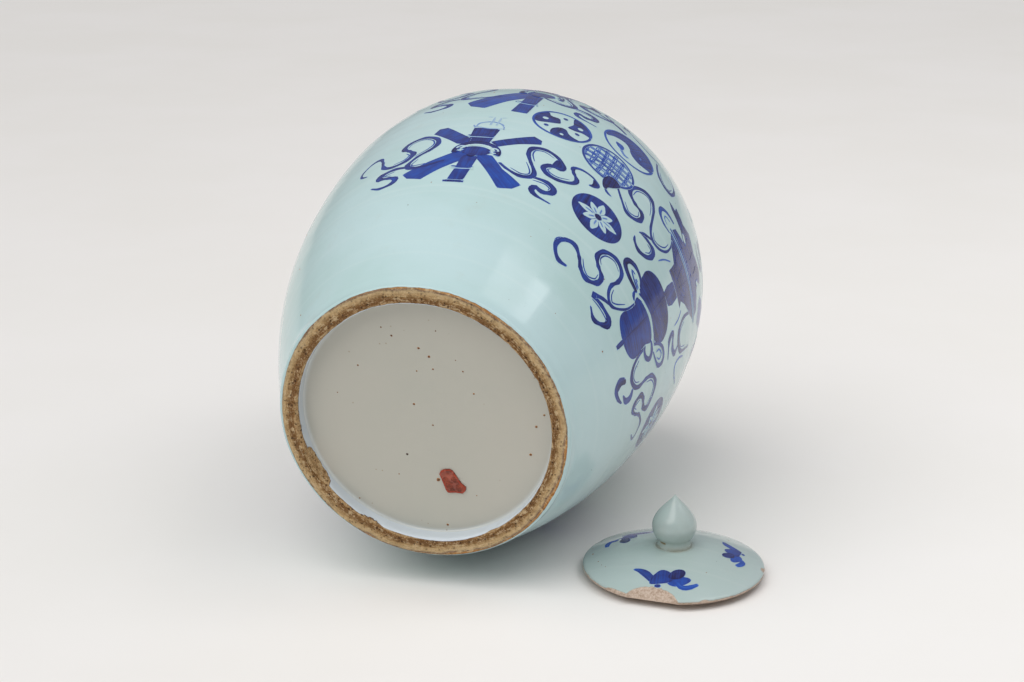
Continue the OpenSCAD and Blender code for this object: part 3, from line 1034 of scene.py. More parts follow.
def add_specks(name, surface, spots, body):
    """Small domed iron spots at (u, v, radius, degrees or millimetres per millimetre across)."""
    points, faces, core = [], [], []
    for i, (u, v, size, per_mm) in enumerate(spots):
        start = len(points)
        sides = 10
        for out, lift in ((1.0, -0.1), (0.8, 0.08), (0.45, 0.16)):
            for j in range(sides):
                a = 2 * math.pi * j / sides
                ragged = size * out * (1 + 0.3 * noise.noise(Vector((math.cos(a), math.sin(a), i * 3.7))))
                points.append(surface(u + math.cos(a) * ragged * per_mm, v + math.sin(a) * ragged, lift))
        points += [surface(u, v, 0.18), surface(u, v, -0.1)]
        dark = 0.25 if size > DARK_SPECK_R else 0.0
        core += [0.1 + dark] * sides + [0.5 + dark] * sides + [0.75 + dark] * sides + [1.0, 0.0]
        for ring in (0, 1):
            for j in range(sides):
                k = (j + 1) % sides
                a, b = start + ring * sides, start + (ring + 1) * sides
                faces.append((a + j, a + k, b + k, b + j))
        for j in range(sides):
            k = (j + 1) % sides
            faces.append((start + 2 * sides + j, start + 2 * sides + k, start + 3 * sides))
            faces.append((start + k, start + j, start + 3 * sides + 1))
    add_piece(name, points, faces, body, SPECK, values={"core": core})


def make_specks():
    base = [(-25, -57, 0.7), (-19, -52, 0.9), (-3, -45, 0.95), (3, -40, 1.0), (5, -32, 0.6), (-5, -30, 0.5),
            (23, -32, 0.6), (-41, -31, 0.6), (-8, -8, 0.8), (3, 5, 0.65), (-14, 26, 1.35), (66, 0, 0.8),
            (62, 19, 0.9), (9, 72, 0.8), (8, -57, 0.6), (29, -18, 0.6), (-20, 40, 0.5), (4.6, 41.6, 1.3),
            (-46, 59, 0.5), (-55, -12, 0.45), (71, -8, 0.7), (28, 50, 0.4), (19, -39, 0.45)]
    add_specks("base_iron_spots", base_surface, [spot + (1,) for spot in base], "jar")
    seeded = random.Random(31)
    wall = []
    for _ in range(46):
        angle, height = seeded.uniform(-180, 180), seeded.uniform(18, 285)
        wall.append((angle, height, seeded.choice((0.3, 0.35, 0.45, 0.6)), 1 / jar_grid(angle, height)[0]))
    add_specks("wall_iron_spots", jar_surface, wall, "jar")
    lid = [(-50, -4, 0.7), (-44, -17, 0.5), (-52, 6, 0.4), (-32, 6, 0.5), (-41, -22, 0.4), (-38, -25, 0.35),
           (24, -26, 0.4), (12, 40, 0.5), (30, 31, 0.4), (-20, 44, 0.4)]
    add_specks("lid_iron_spots", lid_surface, [spot + (1,) for spot in lid], "lid")


# ---------------------------------------------------------------- the lid

# Chips out of the lid's rim: middle angle, half width in degrees, and depth
LID_CHIPS = ((-95, 16, 9.0), (-118, 9, 0.6), (-62, 3, 0.3), (2, 3, 1.3), (70, 3, 0.6), (158, 4, 0.8))
LID_RAGGEDNESS = 0.12


def dome_height(radius):
    centre_r, centre_z, dome_radius, _, _ = dome_arc()
    return centre_z + math.sqrt(dome_radius ** 2 - (radius - centre_r) ** 2)


def lid_outline(inner_r):
    """The lid's section: dome, rim and underside, which is hollow inside the flange."""
    outline = [(0, DOME_Z - 0.5)]
    outline += [(COLLAR_R * t / 4, DOME_Z - 0.3) for t in range(1, 4)]
    outline += list(reversed(arc(*dome_arc(), 46)))
    rim_rows = 6
    outline += [(LID_R - 0.5 * (2 * t / rim_rows - 1) ** 4, RIM_Z + RIM_H * (1 - t / rim_rows))
                for t in range(1, rim_rows + 1)]
    outline += [(LID_R - 1.5 - (LID_R - 1.5 - inner_r) * t / 9, RIM_Z) for t in range(0, 10)]
    outline += [(inner_r - 1, RIM_Z + 1.2), (inner_r - 3, RIM_Z + 2.8)]
    outline += [(inner_r * (1 - t / 12), RIM_Z + RIM_H
                 + (DOME_Z - DOME_WALL - RIM_Z - RIM_H) * math.sin(t * math.pi / 24)) for t in range(2, 12)]
    return outline + [(0, DOME_Z - DOME_WALL)]


def make_lid():
    """The lid's shallow dome with its chipped rim. Rows past broken_from are drawn in where the rim has
    chipped."""
    broken_from = 40
    inner_r = FLANGE_R - FLANGE_WALL

    def deep(height):
        return clip((RIM_Z + RIM_H - height) / RIM_H)

    def place(angle, radius, height):
        spot = round_axis(angle, radius)
        if radius > broken_from:
            bite, t = chip_depth(angle, LID_CHIPS, LID_RAGGEDNESS), deep(height)
            top, bottom = LID_R - bite, LID_R - 0.3 * bite
            rim = top + (bottom - top) * t
            radius = broken_from + (radius - broken_from) / (LID_R - broken_from) * (rim - broken_from)
            if t == 0:
                height = dome_height(radius)
            else:
                rough = noise.fractal((spot + Vector((0, 0, height))) / 1.5, 0.9, 2, 3)
                height = dome_height(top) * (1 - t) + RIM_Z * t
                radius += 0.35 * rough * min(1, bite) * math.sin(math.pi * t)
        height += 0.2 * noise.noise(spot / 26) * min(1, radius / 20) * (1 if height > RIM_Z + RIM_H else 0)
        return on_lid(angle, radius, height)

    points, faces, spots = turned(lid_outline(inner_r), place, segments=300)
    clay, dirt = [], []
    for angle, radius, height in spots:
        bite = chip_depth(angle, LID_CHIPS, LID_RAGGEDNESS)
        t = deep(height)
        if t == 0 or radius <= broken_from:
            near_rim = max(0, 1 - (LID_R - radius) / 2.5)
            level = near_rim * min(1.0, bite) * 0.8
        else:
            level = 0.22 + 0.75 * t + min(1.0, bite)
        if height <= RIM_Z + 0.01 and inner_r - 2 < radius < LID_R - 3:
            level = 1.0
        clay.append(clip(level))
        dirt.append(max(0.0, 1 - abs(radius - COLLAR_R) / 2.2) if height > RIM_Z + RIM_H else 0.0)
    add_piece("lid_glazed", points, faces, "lid", SHADED_LID_GLAZE, ("lid_dome",),
              {"clay": clay, "dirt": dirt})


def make_flange():
    """The bare ring under the lid that drops into the mouth."""
    inner = FLANGE_R - FLANGE_WALL
    outline = [(inner, RIM_Z + 0.5), (inner, 2.5), (inner, 1), (inner + 0.8, 0.2), (inner + 1.6, 0)]
    outline += [(FLANGE_R - 1.6, 0), (FLANGE_R - 0.8, 0.2), (FLANGE_R, 1), (FLANGE_R, 2.5),
                (FLANGE_R, RIM_Z + 0.5)]

    def place(angle, radius, height):
        spot = round_axis(angle, radius, height)
        rough = noise.fractal(spot / 3, 0.9, 2.1, 3)
        return on_lid(angle, radius + 0.12 * rough, height + 0.08 * abs(rough))

    points, faces, spots = turned(outline, place, segments=216)
    groove = [groove_place(a, 7, r, z) for a, r, z in spots]
    add_piece("lid_flange_bare", points, faces, "lid", BISCUIT, ("lid_flange",),
              {"glazed": [0.0] * len(spots), "across": [0.72] * len(spots), "groove": groove}, sharp=50)


def knob_outline():
    """The knob's section: a waisted collar, a round bud and the point above it."""
    under_r = KNOB_R - KNOB_UNDER_R
    start = -math.acos((COLLAR_R + 0.3 - under_r) / KNOB_UNDER_R)
    outline = [(0, DOME_Z - 1.5), (COLLAR_R - 0.4, DOME_Z - 1.5), (COLLAR_R, DOME_Z - 0.4),
               (COLLAR_R - 0.2, DOME_Z + 0.3)]
    outline += [(COLLAR_R - 0.5, DOME_Z + 1.5), (COLLAR_R - 0.65, DOME_Z + 2.7),
                (COLLAR_R - 0.6, DOME_Z + 3.8)]
    outline += [(COLLAR_R - 0.25, DOME_Z + 4.7)]
    outline += arc(under_r, KNOB_WIDE_Z, KNOB_UNDER_R, start, 0, 18)
    steps = 26
    for i in range(1, steps):
        s = 1 - i / steps
        outline.append((KNOB_R * math.sin(s * math.pi / 2) ** 1.2, KNOB_WIDE_Z + KNOB_POINT_H * (1 - s)))
    return outline + [(0, KNOB_WIDE_Z + KNOB_POINT_H)]


def make_knob():
    """The bud-shaped knob, drawn up to a point, with dirt in its seam and in a small crack above it."""
    def place(angle, radius, height):
        lean = 0.25 * noise.noise(round_axis(angle, 0.8, height / 12))
        return on_lid(angle, radius * (1 + 0.02 * lean) + lean * min(1, radius / 4), height)

    points, faces, spots = turned(knob_outline(), place, segments=96)
    dirt = [max(0.16, min(1.0, 1.1 - (z - DOME_Z) / 2.6)) for _, _, z in spots]
    crack_angle, crack_half, crack_low, crack_high = 237, 13, DOME_Z + 3.5, DOME_Z + 5
    for i, (angle, _, z) in enumerate(spots):
        if abs(angle - crack_angle) < crack_half and crack_low < z < crack_high:
            dirt[i] = 1.8
    add_piece("lid_knob_bud", points, faces, "lid", SHADED_LID_GLAZE, ("lid_knob",),
              {"clay": [0.0] * len(spots), "dirt": dirt})


# ---------------------------------------------------------------- what is painted on the jar
# Each motif is written where it stands on the jar's front; a Brushwork may shift or enlarge it.

def ring_places(middle, across, up, start=0, end=360, steps=24):
    """Places round an oval, anticlockwise. across and up are its half sizes, in degrees and millimetres."""
    angles = [math.radians(start + (end - start) * i / steps) for i in range(steps + 1)]
    return [(middle[0] + across * math.cos(a), middle[1] + up * math.sin(a)) for a in angles]


def oval(middle, across, up, steps):
    """The outline of an oval blot."""
    return ring_places(middle, across, up, steps=steps)[:-1]


def on_disc(middle, across, up, away, turn):
    """A place on a disc, away from its middle by a part of its size and turned by degrees."""
    a = math.radians(turn)
    return middle[0] + across * away * math.cos(a), middle[1] + up * away * math.sin(a)


def disc_rim(b, middle, across, up, tone, layer):
    """The line round a disc, which ends a little past its start."""
    b.stroke(ring_places(middle, across, up, end=364), 1.3, tone=tone, swell=0.1, taper=(1, 1), layer=layer)


LEFT, RIGHT = 1, -1  # of the brush's way


def ribbon(b, places, width=2.3, inner=(), tone=0.95):
    """A floating ribbon's edge in one dark line. inner lists (side, first, last): the parts of it along which
    a fine line runs, on the left or right of the brush's way."""
    for side, first, last in inner:
        b.line(places[first:last], 0.75, tone=0.82, shift=side * 2.8, layer=1, taper=(0.4, 0.3), feather=0.2)
    b.stroke(places, width, tone=tone, swell=0.75)


def scrolls(b, whole=True):
    """A bundle of rolled scrolls bound by a ring. A part one lacks its right arm and the bowl above it."""
    b.patch([(-12.6, 149), (-11.6, 156), (-9.2, 156.8), (-5, 148), (-0.5, 139), (-0.5, 131), (-4, 132)],
            tone=0.84, hairs_along=50)
    b.patch([(5, 137), (10, 146), (15.5, 156), (18, 153.5), (18.4, 148.5), (13, 141), (7.5, 131.5)],
            tone=0.86, hairs_along=125)
    b.patch([(-1.5, 155), (6, 155), (5.4, 143), (4.9, 132), (-1, 132), (-1.4, 143)], tone=0.96)
    b.patch([(-2.6, 123), (-17, 101), (-15, 95.5), (-10.3, 92.4), (-5, 103), (1, 114), (1, 121)], tone=0.74,
            hairs_along=42)
    if whole:
        b.patch([(2.6, 121), (3.6, 115), (8, 103), (13, 89.4), (17, 93), (19, 99), (12, 109), (7.5, 121)],
                tone=0.72, hairs_along=135)
    b.patch([(-0.8, 118), (4, 118), (3.4, 103), (2.7, 91), (-2.3, 91), (-1.3, 103)], tone=0.84, layer=2)
    if whole:
        b.patch([(-3.4, 91), (3, 91), (3, 88.5), (-3.3, 88.5)], tone=0.9, layer=2)
    for low, left, right in ((103.5, -2.8, 4.0), (142.5, -2.4, 5.6)):
        b.line([(left, low), (0.5, low - 0.8), (right, low)], 0.9, tone=0.25, layer=3)
        b.line([(left, low + 1.8), (0.5, low + 1), (right, low + 1.8)], 0.7, tone=0.9, layer=4)
    for x, y in ((-2.6, 104.2), (3.9, 103), (-2.2, 143.6)):
        b.wash(oval((x, y), 0.4, 0.9, steps=8), tone=0.95, layer=4)
    b.wash(oval((2.4, 124), 4.4, 5.6, steps=20), tone=0.88, rim=0.95, layer=3)
    b.stroke(ring_places((2.6, 123), 6.3, 11, start=-14, end=194), 3.0, tone=1.08, layer=5, swell=0.1,
             taper=(0.9, 0.9))
    b.line(ring_places((2.6, 123.2), 4.9, 8.4, start=20, end=160), 1.0, tone=0.1, layer=6)
    for side in (-1, 1):
        curl = [(0, 2.2), (1.7, 3.6), (2.9, 1.5), (1.9, -1.8), (0.3, -0.9)]
        b.line([(2.6 + side * (3.0 + u), 125.5 + v) for u, v in curl], 1.1, tone=0.15, layer=6)
        b.stroke([(2.6 + side * (4.6 + u * 0.6), 123 + v * 0.6) for u, v in curl], 1.2, tone=1.05, layer=7,
                 swell=0.3)
    b.line([(0.3, 119.6), (1.8, 118.2), (3.2, 119.4)], 2.4, tone=1.1, layer=6)
    if not whole:
        return
    b.stroke([(-2.2, 160), (-1.2, 155.6), (-0.6, 162), (2.6, 165), (5.8, 162), (6.8, 155.2), (6.4, 161)],
             0.9, tone=0.34, swell=0.2)
    b.line([(-1.4, 157), (2.6, 154.6), (6.6, 156.4)], 0.8, tone=0.32)
    for x in (2.4, 4.1):
        b.line([(x, 159), (x + 0.2, 167), (x + 0.1, 174)], 1.1, tone=0.24)
    b.line([(0.2, 173.2), (2.4, 172.6)], 0.9, tone=0.22, curved=False)
    b.line([(4, 172.6), (6, 174)], 0.9, tone=0.22, curved=False)


def left_ribbon(b):
    """Ribbon that floats out to the left of the scrolls."""
    ribbon(b, [(-5, 112.5), (-10, 107.6), (-14.5, 106.8), (-16.4, 111), (-14.6, 119), (-11, 127),
               (-9.6, 134.5), (-11, 142), (-15, 146.2), (-18.8, 142.6), (-20, 135.5), (-17.8, 130.6),
               (-16, 125), (-17.6, 118), (-21.5, 115), (-24.8, 118.5), (-26, 127), (-27.4, 133.6),
               (-30.2, 133.4), (-32.8, 127), (-32.8, 120.5), (-30.2, 117)],
           inner=((RIGHT, 1, 5), (LEFT, 4, 11), (RIGHT, 11, 15)))
    ribbon(b, [(-14.6, 107.8), (-20, 110.6), (-24, 108.4), (-24.8, 104.4), (-21, 101.6), (-18.8, 98.4),
               (-20, 94.2), (-23.6, 93), (-27, 97.2)], width=2.6, inner=((LEFT, 1, 5),))


def right_ribbon(b):
    """Ribbon that floats out to the right of the scrolls."""
    b.wash([(24.4, 140), (26.6, 136.6), (27.4, 131.2), (25.2, 130.4), (23.6, 131)], tone=1.0)
    b.wash([(35.4, 142.2), (37.9, 138.8), (37.6, 134.6), (34.8, 132.4), (35.8, 136)], tone=1.0)
    ribbon(b, [(10, 115.6), (13, 110.4), (17, 107.4), (20, 110.2), (20.4, 116), (18, 125.4), (16.4, 133.6),
               (16.8, 141), (20, 144.4), (24, 141.6), (26.6, 135.4), (26.4, 131), (23.2, 129.4),
               (21.9, 124.6), (23.8, 120), (27.2, 119.4), (30.8, 123.6), (31.8, 129), (29.9, 134.6),
               (29.2, 139.4), (31.4, 142.8), (35, 142.6), (37.6, 138.6), (36.8, 134.6), (35, 132.6)],
           inner=((LEFT, 1, 6), (RIGHT, 5, 10), (LEFT, 12, 17)))
    ribbon(b, [(18, 108.4), (20.5, 110.8), (24.8, 112), (27.4, 109), (27.4, 104.4), (25, 101.4),
               (22.6, 102.8), (22, 99), (24, 95.8), (29, 95)], width=2.4, inner=((RIGHT, 1, 5),))


def comma_disc(b, middle=(20.6, 185.2), across=8.4, up=18.2):
    """A disc parted into three dark and three light lobes that turn about its middle, with a dot in each.
    Lobes are written as (distance out, degrees round), the rim being 1."""
    def spot(away, turn, size, tone):
        place = on_disc(middle, across, up, away, turn)
        b.wash(oval(place, across * size, up * size, steps=10), tone=tone, rim=tone, layer=3)

    dark_lobes = (
        ((0.97, 194), (1, 176), (1, 158), (0.97, 131), (0.64, 136), (0.48, 115), (0.25, 117), (0.1, 163),
         (0.48, 202), (0.79, 203)),
        ((1, 2), (1, 20), (1, 40), (1, 60), (0.92, 77), (0.64, 70), (0.45, 55), (0.14, 0), (0.38, -6),
         (0.65, 5)),
        ((0.97, -102), (1, -84), (1, -66), (0.98, -50), (0.97, -37), (0.74, -48), (0.54, -56),
         (0.27, -53), (0.2, -92), (0.36, -114), (0.63, -115)),
    )
    for lobe in dark_lobes:
        outline = [on_disc(middle, across, up, min(1.03, 1.04 * away + 0.02), turn) for away, turn in lobe]
        b.wash(outline, tone=0.95, hairs_along=lobe[0][1])
    disc_rim(b, middle, across, up, tone=0.8, layer=3)
    for away, turn, size in ((0.64, 170, 0.12), (0.64, 28, 0.12), (0.73, -81, 0.09)):
        spot(away, turn, size, 0.06)
    for away, turn in ((0.6, 93), (0.6, -22), (0.66, 222)):
        spot(away, turn, 0.1, 0.9)


def swirl_disc(b, middle=(40.3, 209), across=8.7, up=19.4):
    """A disc parted by an S curve into a dark half above and a light half below, with blots on both."""
    dark = [(1, turn) for turn in range(-12, 190, 12)]
    dark += [(0.9, 187), (0.71, 170), (0.53, 153), (0.36, 133), (0.1, 125), (0.17, -83), (0.39, -64),
             (0.6, -46), (0.76, -29)]
    b.wash([on_disc(middle, across, up, away, turn) for away, turn in dark], tone=0.84, rim=0.92,
           hairs_along=60)
    disc_rim(b, middle, across, up, tone=0.7, layer=3)
    b.wash(oval((44, 209.5), 0.6, 2.6, steps=10), tone=0.4, rim=0.45, layer=3)
    b.wash([(35.4, 206), (36.6, 206.6), (38, 206.4), (38.6, 203), (38.2, 199), (37, 199.6), (35.8, 202)],
           tone=0.62, layer=3)
    b.stroke([(37.4, 202), (38.2, 198), (39.6, 195.2), (41.2, 196.4)], 2.0, tone=0.4, swell=0.2)


def lattice_disc(b, middle=(37.2, 168.3), across=8.4, up=17.7):
    """A disc of crossed lines, drawn freely over a thin wash, with a dab where lines cross."""
    b.wash(oval(middle, across, up, steps=26), tone=0.1, rim=0.16, layer=0)
    disc_rim(b, middle, across, up, tone=0.85, layer=5)
    lines = [t / 3.1 + 0.06 for t in (-3, -2, -1, 0, 1, 2)]
    for t in lines:
        reach = math.sqrt(1 - t * t) * 0.97
        for pair in (-0.055, 0.0, 0.055):
            drift = 0.05 * b.random.uniform(-1, 1)
            tone = b.random.uniform(0.5, 0.8)
            down = [(middle[0] + across * (t + pair + drift * (1 - s * s)), middle[1] + up * reach * s)
                    for s in (-1, -0.4, 0.2, 1)]
            b.stroke(down, 0.6, tone=tone, swell=0.2, taper=(0.7, 0.5), layer=2, feather=0.3)
            over = [(middle[0] + across * reach * s, middle[1] + up * (t + pair + drift * (1 - s * s)))
                    for s in (-1, -0.3, 0.3, 1)]
            b.stroke(over, 0.6, tone=tone, swell=0.2, taper=(0.7, 0.5), layer=3, feather=0.3)
    for x in lines:
        for y in lines:
            if math.hypot(x, y) < 0.86:
                place = (middle[0] + across * x, middle[1] + up * y)
                b.wash(oval(place, across * 0.075, up * 0.06, steps=7), tone=0.86, rim=0.7, layer=4)


def flower_disc(b, middle=(42.2, 112.2), across=9.0, up=16.6):
    """A dark disc with a flower of four long and four short petals left pale."""
    b.wash(oval(middle, across, up, steps=30), tone=0.92, rim=1.02)
    for k in range(8):
        long_petal = k % 2 == 0
        aim = math.radians(45 * k + b.random.uniform(-5, 5))
        tip, fat = (0.84, 0.165) if long_petal else (0.7, 0.15)
        shape = []
        for t, side in ((0.1, 0.3), (0.3, 0.75), (0.55, 1), (0.8, 0.6), (1, 0), (0.8, -0.6), (0.55, -1),
                        (0.3, -0.75), (0.1, -0.3)):
            away, out = tip * t, fat * side
            shape.append((middle[0] + across * (away * math.cos(aim) - out * math.sin(aim)),
                          middle[1] + up * (away * math.sin(aim) + out * math.cos(aim))))
        b.wash(shape, tone=0.1, rim=0.04, layer=2 + k % 2)
        vein = [(middle[0] + across * tip * t * math.cos(aim), middle[1] + up * tip * t * math.sin(aim))
                for t in (0.2, 0.65)]
        b.line(vein, 0.7, tone=0.4, layer=5, curved=False)
    b.wash(oval(middle, across * 0.15, up * 0.16, steps=10), tone=1.0, rim=1.0, layer=5)


def bud_ribbon(b):
    """A dark bud under the lattice disc, and the ribbon that winds away from it."""
    b.wash([(38.6, 156.6), (41, 158), (43, 154.6), (41.8, 149), (40.1, 144), (39.8, 140.6), (38.4, 141.8),
            (37.5, 149)], tone=1.02, layer=6)
    b.stroke([(39.4, 142), (40.4, 139.4), (42.4, 138.8)], 1.3, tone=0.8)
    ribbon(b, [(42, 153.6), (45, 145.2), (48, 139), (51, 140.4), (52.9, 146), (52.2, 152.8), (48.6, 154.6),
               (46, 160), (46.6, 169.6), (49.6, 176.4), (52.6, 176.6), (54.6, 170.6), (55.8, 160),
               (57, 150), (59.2, 144.2), (62.4, 145.8), (65, 153), (65.6, 162), (64.8, 170)],
           inner=((LEFT, 1, 6), (RIGHT, 7, 13), (LEFT, 13, 18)))
    ribbon(b, [(59.4, 144), (56.4, 139.8), (54.3, 135)], width=1.8)
    ribbon(b, [(54.6, 136.6), (58.4, 138.4), (61.4, 137.6), (62, 131.6), (60.4, 125.6), (57.4, 122.4),
               (54.8, 125), (54, 129.4)], width=2.5, inner=((RIGHT, 1, 5),))


def high_ribbon(b):
    """Ribbon that loops above the swirl disc and to its right."""
    b.stroke([(27, 240.5), (30, 239.6), (33, 238), (35.2, 235.6), (37.4, 231.6)], 3.8, tone=0.95,
             taper=(0.3, 0.8))
    b.stroke([(36.7, 252), (39.2, 243), (42.6, 237.4), (47.4, 235.4), (51.4, 238)], 1.3, tone=0.8)
    ribbon(b, [(49.6, 233), (50.2, 222), (51.8, 213.4), (54.6, 209.4), (57.4, 211.6), (58.6, 219.6),
               (57.6, 229), (55, 236)], width=2.0, inner=((LEFT, 1, 6),))


def lower_ribbon(b):
    """The long S-shaped ribbon that winds down to the left of the gourd."""
    ribbon(b, [(43, 60), (39.6, 59.4), (37, 64.4), (36.2, 70.4), (37.9, 76.2), (41, 77.9), (44, 73.2),
               (46.6, 66.6), (50, 64), (53.3, 68.6), (53.4, 75.4), (50.2, 80), (48.4, 85.4), (49.6, 93),
               (53.6, 97), (57.4, 93.8), (58.4, 86.4), (57.4, 78), (58.4, 71.6), (61, 68), (63.6, 71.4),
               (66.2, 80), (67, 90)], inner=((LEFT, 6, 11), (RIGHT, 11, 16), (LEFT, 17, 22)))
    b.line([(36.4, 68), (36.2, 72.6), (38.2, 76.8)], 3.4, tone=0.85)
    ribbon(b, [(61, 67.6), (57.6, 64.6), (54.9, 60.2), (59.4, 61), (63.8, 60.4), (65, 57), (63.2, 52.2),
               (60, 49), (56.2, 53.4)], width=2.8, inner=((RIGHT, 2, 6),))


def gourd(b):
    """A double gourd tied about its waist, standing on a short stem."""
    b.wash([(63.2, 112), (64, 104), (67, 99.6), (74, 101.6), (80.6, 99.4), (83, 103), (84, 111),
            (82.6, 119.4), (79, 125.6), (74, 128.4), (68.6, 128), (64.8, 123.6), (63.2, 118)], tone=0.96,
           rim=0.98, hairs_along=6)
    b.wash([(66.4, 96), (74, 99.4), (80.4, 95.4), (79.8, 86), (80.8, 74), (79.6, 67.4), (75.6, 64),
            (70.4, 64.8), (66.6, 69.4), (65.9, 76), (67.2, 86)], tone=0.86, rim=0.94, hairs_along=-8)
    b.patch([(72.1, 65.6), (74, 65.6), (73.9, 56.2), (72.2, 56.2)], tone=0.9, layer=2)
    b.line([(66, 96.4), (70, 99.8), (74.4, 100.8), (79, 98.6), (82.4, 95.4)], 1.3, tone=0.12, layer=3)
    b.line([(65.6, 98.4), (70, 101.8), (74.4, 102.8), (79, 100.4), (82.4, 97.4)], 1.2, tone=0.95, layer=4)
    b.line([(73.6, 127), (73.9, 110), (74.1, 104)], 0.9, tone=1.0, layer=3)
    b.line([(73.4, 98), (73.2, 82), (73, 67)], 0.9, tone=0.92, layer=3)
    b.line([(67.8, 72), (70.2, 69.4), (73, 68.8)], 0.8, tone=0.92, layer=3)
    b.patch([(72.4, 128), (76.9, 128), (77.9, 135), (77.8, 146), (72.6, 146), (71.9, 135)], tone=0.9)
    b.stroke([(65.4, 96.6), (60, 97.8), (56.6, 101.6), (57, 107), (60, 109.4), (63.6, 107), (65.2, 101.8)],
             3.0, tone=1.06, swell=0.3, layer=4)
    b.line([(65, 98.6), (61.6, 100.8), (59.4, 104), (61.4, 104.4)], 1.0, tone=0.8, layer=4)
    b.line([(65, 100), (62, 102.4), (63.6, 103)], 0.8, tone=0.6, layer=4)
    b.stroke([(82, 97), (83.2, 104), (85.6, 109.6), (88.4, 110.6), (90, 106.8), (89.4, 100.6), (86.4, 97),
              (83.6, 95.4)], 2.0, tone=0.9, layer=4)
    b.line([(85, 99), (85, 104), (87, 107), (88, 103.4), (86.4, 99)], 0.8, tone=0.6, layer=4)
    b.stroke([(80, 95), (83.2, 93.8), (84.8, 89.4), (83.4, 84.8), (81, 84.4), (79.9, 87)], 2.2, tone=0.95,
             layer=4)
    b.stroke([(66.4, 90), (64.8, 92.6), (64.4, 96)], 1.8, tone=0.9, layer=4)


def gourd_ribbons(b):
    """Ribbons that wind away to the right of the gourd."""
    b.wash([(83.2, 55), (84, 58.6), (85.8, 58), (85.4, 53), (86.8, 48.6), (84.8, 48.4), (83.4, 51.4)],
           tone=1.05)
    ribbon(b, [(80.4, 86), (81, 76), (83, 68), (86, 65), (89, 67.6), (90.4, 74), (90, 84), (91, 92.6),
               (94.4, 98), (98, 95.6), (100.8, 89), (99.4, 82.4), (96, 80.8), (94, 76.4), (95, 69.6),
               (97.4, 67.2), (99.4, 71.6), (101, 78), (105, 83.6), (108.6, 82.2), (110, 78.6), (107, 73.6)],
           inner=((LEFT, 1, 6), (RIGHT, 6, 11), (LEFT, 13, 17)))
    b.line([(98.4, 94.6), (100.6, 89.4), (99.6, 83)], 3.6, tone=0.95)
    b.stroke([(89, 66), (91.6, 62.4), (91.4, 56.8), (88.6, 54.2)], 2.8, tone=0.9)
    b.stroke([(84, 58), (83.4, 52), (85.4, 47.4), (88.6, 48.4), (91.4, 52.8)], 2.4, tone=1.0)
    ribbon(b, [(86, 165), (85, 152), (86.6, 141.4), (90, 138.4), (93.6, 143), (95.2, 154), (96, 165)],
           inner=((LEFT, 1, 6),))
    ribbon(b, [(90.2, 138.4), (91.9, 131), (89.4, 126.6), (85.2, 128.8), (86.4, 121.4), (91.8, 118.4)],
           width=2.4)
    b.line([(82, 149), (83.4, 141), (83.8, 132)], 0.9, tone=0.6)
    b.line([(68.4, 154), (66, 146), (64.4, 137)], 0.8, tone=0.5)
    b.stroke([(97, 152), (95.6, 142), (96.4, 134), (100, 136), (104.6, 144)], 1.4, tone=0.6)


def vessel(b):
    """A footed vase of leaves above the gourd, with a scrolled handle."""
    b.patch([(69.6, 150), (69.4, 146), (81.4, 146), (80, 151), (82, 157), (87, 166), (90, 173.4),
             (63.4, 173.4), (65, 166), (69.6, 157)], tone=0.94, hairs_along=8)
    b.patch([(63, 178.4), (90, 178.4), (89, 186), (84, 190), (82.6, 196), (84.6, 203), (81, 207), (75, 202),
             (69.6, 207), (66, 202.6), (61, 206.4), (61, 201.6), (57.4, 201.4), (60, 196.4), (66, 192.6),
             (68.6, 188), (64, 185)], tone=0.9, hairs_along=-6)
    b.line([(62, 176.6), (76, 177.6), (91.6, 176.4)], 1.5, tone=0.75)
    b.line([(62.6, 173.8), (76, 174.8), (91, 173.8)], 1.2, tone=0.6)
    b.line([(67.2, 195), (68.4, 191.6), (70.2, 191)], 3.0, tone=0.06, layer=3)
    b.line([(81.6, 195), (83, 191)], 3.0, tone=0.06, layer=3, curved=False)
    for x in (70, 74.4, 78.6):
        b.line([(x - 0.8, 181), (x + 0.4, 189), (x - 0.4, 198)], 0.9, tone=1.0, layer=4)
    for x in (68.6, 73.2, 77.6, 82):
        b.line([(75 + (x - 75) * 0.5, 154), (75 + (x - 75) * 0.85, 163), (x, 171)], 0.8, tone=0.95, layer=3)
    b.stroke([(63, 186.4), (59, 185.8), (56.6, 181.4), (57, 175.6), (59.6, 171.6), (63.2, 172.6)], 2.2,
             tone=0.8)
    b.line([(61.6, 182), (59, 180.4), (59.2, 176.6), (61.2, 175.6)], 0.8, tone=0.45)


def far_flower(b):
    flower_disc(b, middle=(111, 110), across=8.6, up=16.8)


# Motifs of one side of the jar, in the order that they are painted
SIDE_MOTIFS = (scrolls, left_ribbon, right_ribbon, comma_disc, swirl_disc, lattice_disc, flower_disc,
               bud_ribbon, high_ribbon, lower_ribbon, gourd, gourd_ribbons, vessel, far_flower)
# The far side has the same motifs this many degrees further round, and has no second flower disc
FAR_TURN = 165
# Upper bundles: angle of each, and how far its left ribbon is lifted clear of the motif below
UPPER_BUNDLES = ((4, 0), (100, 16), (178, 0), (272, 16))
SCROLLS_MIDDLE = (2.5, 125)


